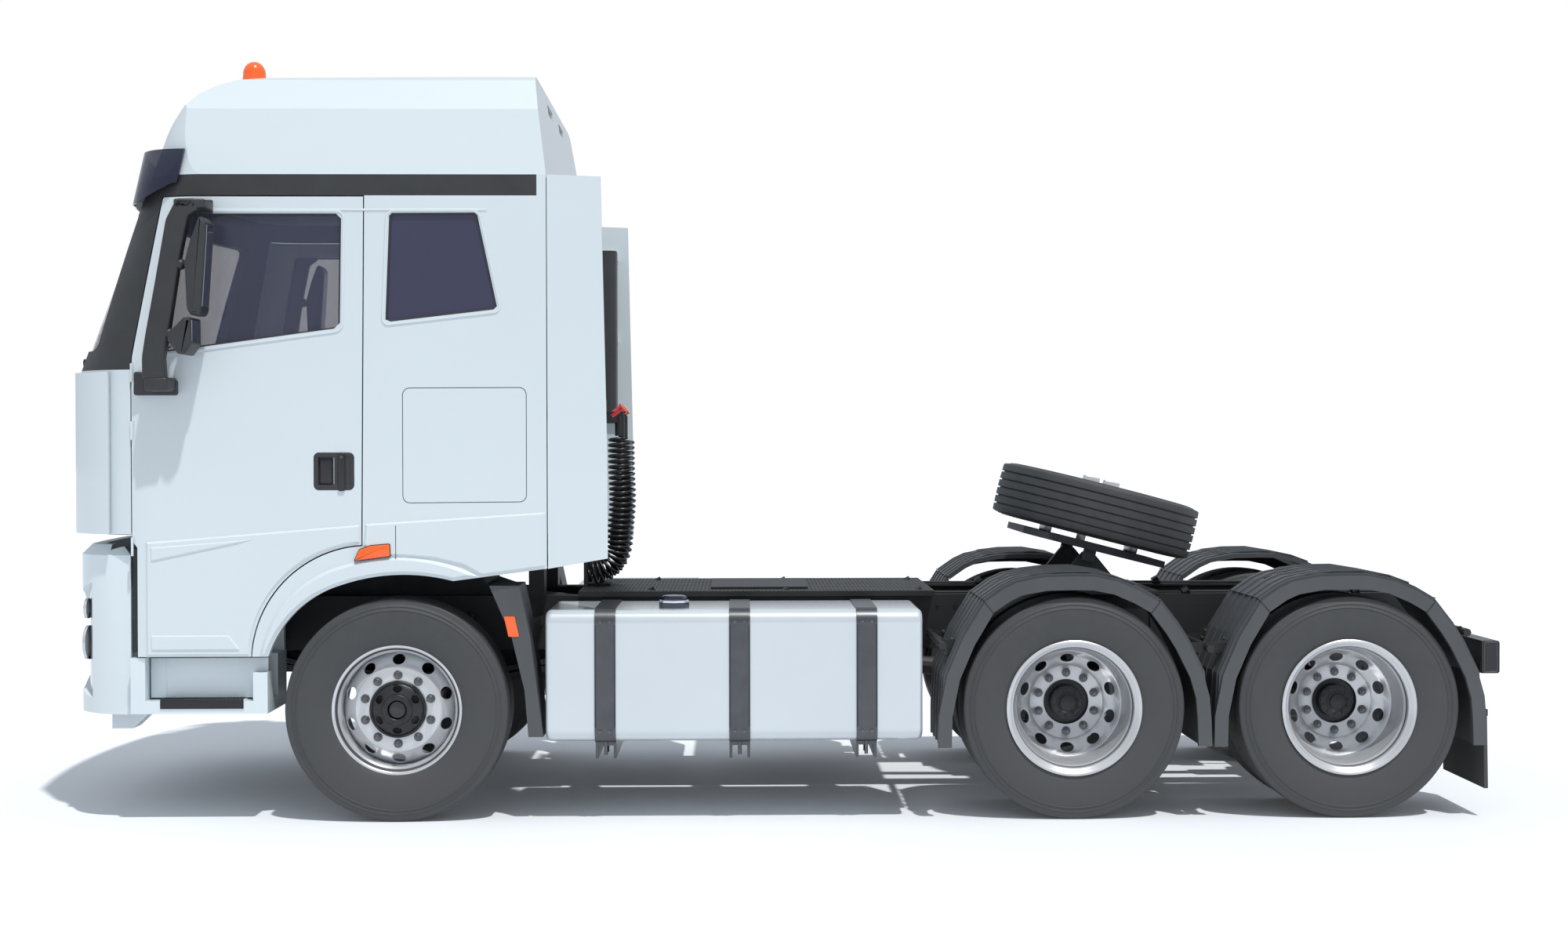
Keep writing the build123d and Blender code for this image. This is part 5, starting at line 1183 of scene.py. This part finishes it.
shocks = [bar(behind(0.16, -0.50, 0.52), behind(0.24, -0.50, 0.80), 0.034, 20),
          bar(behind(0.24, -0.50, 0.80), behind(0.28, -0.50, 0.96), 0.024, 20)]
pair(joined(shocks), "shock_absorbers", "chassis", chassis_paint)
pipes = [bar(behind(0.95, -0.405 + 0.018 * row, 1.055), behind(5.10, -0.405 + 0.018 * row, 1.055), 0.006, 8)
         for row in range(3)]
pipes += [bar(behind(start, -0.396, 1.050), behind(start + 0.03, -0.396, 1.066), 0.028, 8) for start in
          (1.2, 1.9, 2.6, 3.0, 4.0, 4.6, 4.9)]
pair(joined(pipes), "frame_pipes", "chassis", hose_plastic)

# %% Rear: spare wheel, its clamp and the couplings
clamp_turn = Matrix.Rotation(spare_tilt, 4, "Y")
clamp_middle = Matrix.Translation((spare_low + spare_high) / 2) @ clamp_turn
piece(moved(joined([wheel_nut()]), clamp_middle @ Matrix.Translation((-0.04, 0, 0.114))), "spare_clamp_nut",
      "fifth_wheel", nut_steel)
spare_disc = [spun(front_flange), holed_disc(front_table, 0.2445, 0.0315, 0.0265, 0.209, 0.277, 10)]
for size_x, size_y, at_x, foot, head in ((0.330, 0.070, 0.0, 0.089, 0.114), (0.086, 0.060, -0.062, 0.114,
                                                                             0.176),
                                         (0.086, 0.060, 0.050, 0.114, 0.176), (0.040, 0.200, -0.240, -0.174,
                                                                               -0.117),
                                         (0.040, 0.200, 0.240, -0.174, -0.117), (0.046, 0.046, -0.040, -0.20,
                                                                                 0.10)):
    block = bmesh.new()
    bmesh.ops.create_cube(block, size=1)
    moved(block, Matrix.Translation((at_x, 0, (foot + head) / 2))
          @ Matrix.Diagonal((size_x, size_y, head - foot, 1)))
    round_edges(block, block.edges[:], 0.006)
    spare_disc.append(block)
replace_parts(piece(moved(joined(spare_disc), clamp_middle), "disc_wheel_spare", "fifth_wheel", rim_silver),
            "spare_rim")
couplings = {"red": [], "yellow": []}
for kind, side in (("red", -0.150), ("yellow", 0.150)):
    head = behind(0.985, side, 1.985)
    couplings[kind] += [bar(head, head + Vector((0.05, 0, 0.035)), 0.024, 20),
                        bar(head + Vector((0.05, 0, 0.035)),
                        head + Vector((0.062, 0, 0.043)), 0.031, 20)]
piece(joined(couplings["red"]), "coupling_red", "chassis", red_lens)
piece(joined(couplings["yellow"]), "coupling_yellow", "chassis", orange_lens)

# %% [markdown]
# ## Inside the cab
# Seats and bunk are soft, so the plain blocks are replaced by cushions. The steering wheel is a ring spun from
# a circle, with three spokes.

# %% Inside: the steering wheel
wheel_middle = behind(-0.900, -0.620, 2.143)
wheel_axis = Vector((0.22, 0, 0.18)).normalized()
wheel_turn = wheel_axis.to_track_quat("Z", "Y").to_matrix().to_4x4()
rim_circle = [(0.214 + 0.015 * math.cos(2 * math.pi * step / 12), 0.015 * math.sin(2 * math.pi * step / 12))
              for step in range(12)]
wheel_parts = [spun(rim_circle, 48), spun([(0.0, 0.012), (0.045, 0.010), (0.060, 0.0), (0.060, -0.02),
                                           (0.0, -0.02)],
                                          32, closed=False)]
for turn in (0.5, math.pi - 0.5, -math.pi / 2):
    wheel_parts.append(bar(Vector((0.04 * math.cos(turn), 0.04 * math.sin(turn), -0.005)),
                           Vector((0.208 * math.cos(turn), 0.208 * math.sin(turn), -0.002)), 0.012, 10))
piece(moved(joined(wheel_parts), Matrix.Translation(wheel_middle) @ wheel_turn), "steering_wheel", "cab",
      cabin_plastic)

# %% [markdown]
# ## Seats and bunk
# Each cushion starts as a rounded box a little smaller than its place. It is remeshed into small even faces,
# and a cloth simulation with air pressure inside swells it until the cover is tight. A point may move only a
# few millimetres, so the cushion keeps to its place. Sewn channels are pressed in afterwards, because the
# remesh would erase them.

# %% Inside: cushions swollen by pressure
def even_mesh(obj, voxel):
    """The object's mesh remade with small faces of one size."""
    remesh = obj.modifiers.new("remesh", "REMESH")
    remesh.mode = "VOXEL"
    remesh.voxel_size = voxel
    mesh = bpy.data.meshes.new_from_object(obj.evaluated_get(bpy.context.evaluated_depsgraph_get()))
    obj.modifiers.clear()
    obj.data = mesh


def swell(obj, cap):
    """Blow the cushion up with the cloth solver and keep the result, no point further than the cap."""
    rest = [vert.co.copy() for vert in obj.data.vertices]
    cloth = obj.modifiers.new("cloth", "CLOTH")
    cloth.settings.use_pressure = True
    cloth.settings.uniform_pressure_force = 4.0
    cloth.settings.effector_weights.gravity = 0
    for frame_number in range(1, 21):
        bpy.context.scene.frame_set(frame_number)
    blown = bpy.data.meshes.new_from_object(obj.evaluated_get(bpy.context.evaluated_depsgraph_get()))
    obj.modifiers.clear()
    obj.data = blown
    for vert, start in zip(blown.vertices, rest):
        move = vert.co - start
        if move.length > cap:
            vert.co = start + move.normalized() * cap
    bpy.context.scene.frame_set(1)


def cushion(x_range, y_range, z_range, name, lean=0.0, channels=(), voxel=0.008, cap=0.012):
    """One padded piece between limits, leaning back by some degrees, with channels sewn across it."""
    inset = 0.008
    spans = [(low + inset, high - inset) for low, high in (x_range, y_range, z_range)]
    obj = link_mesh(rounded_box(*spans, 0.03, 4), name)
    even_mesh(obj, voxel)
    swell(obj, cap)
    middle = [(low + high) / 2 for low, high in (x_range, y_range, z_range)]
    for vert in obj.data.vertices:
        for axis, place in channels:
            reach = abs(vert.co[axis] - (place + front_axle if axis == 0 else place))
            if reach < 0.012:
                vert.co += (behind(*middle) - vert.co).normalized() * 0.005 * (1 - reach / 0.012)
    pivot = Matrix.Translation(behind(middle[0], middle[1], z_range[0]))
    obj.data.transform(pivot @ Matrix.Rotation(math.radians(lean), 4, "Y") @ pivot.inverted())
    return obj


seat_shapes = [
    (cushion((-0.635, -0.140), (-0.870, -0.370), (1.725, 1.858), "seat_cushion_left", 0.0,
             ((1, -0.70), (1, -0.54), (0, -0.40))), "cushion"),
    (cushion((-0.190, -0.060), (-0.865, -0.375), (1.800, 2.500), "seat_back_left", 8.0,
             ((1, -0.74), (1, -0.50), (2, 2.02), (2, 2.24))), "back"),
    (cushion((-0.080, 0.005), (-0.750, -0.490), (2.520, 2.745), "seat_headrest_left", 0.0), "headrest"),
]
seat_pieces = []
for obj, part_name in seat_shapes:
    twin_mesh = obj.data.copy()
    twin_mesh.transform(Matrix.Diagonal((1, -1, 1, 1)))
    twin_mesh.flip_normals()
    twin = bpy.data.objects.new("seat_" + part_name + "_right", twin_mesh)
    bpy.context.scene.collection.objects.link(twin)
    seat_pieces += [obj, twin]
seat_pieces.append(cushion((0.100, 0.680), (-1.145, 1.145), (1.765, 1.897), "bunk_mattress", 0.0,
                           ((1, -0.57), (1, 0.0), (1, 0.57)), 0.012, 0.010))
for obj in seat_pieces:
    add_piece(obj, "cab", seat_cloth)
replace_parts(seat_pieces[0], "seats")
seat_base = [rounded_box((-0.540, -0.140), (-0.760, -0.480), (1.441, 1.722), 0.020),
             rounded_box((-0.600, -0.120), (-0.850, -0.390), (1.660, 1.724), 0.015),
             bar(behind(-0.045, -0.680, 2.44), behind(-0.040, -0.680, 2.56), 0.006, 10),
             bar(behind(-0.045, -0.560, 2.44), behind(-0.040, -0.560, 2.56), 0.006, 10)]
pair(joined(seat_base), "seat_base", "cab", cabin_plastic)
piece(joined([rounded_box((0.510, 0.684), (-1.148, 1.148), (1.441, 1.764), 0.010),
              rounded_box((0.092, 0.684), (-1.148, 1.148), (1.740, 1.766),
                          0.006)]), "bunk_base", "cab", cabin_plastic)
print("padded pieces:", len(seat_pieces), "faces in the mattress:", len(seat_pieces[-1].data.polygons))

# %% Last: the view transform
bpy.context.scene.view_settings.view_transform = "Standard"
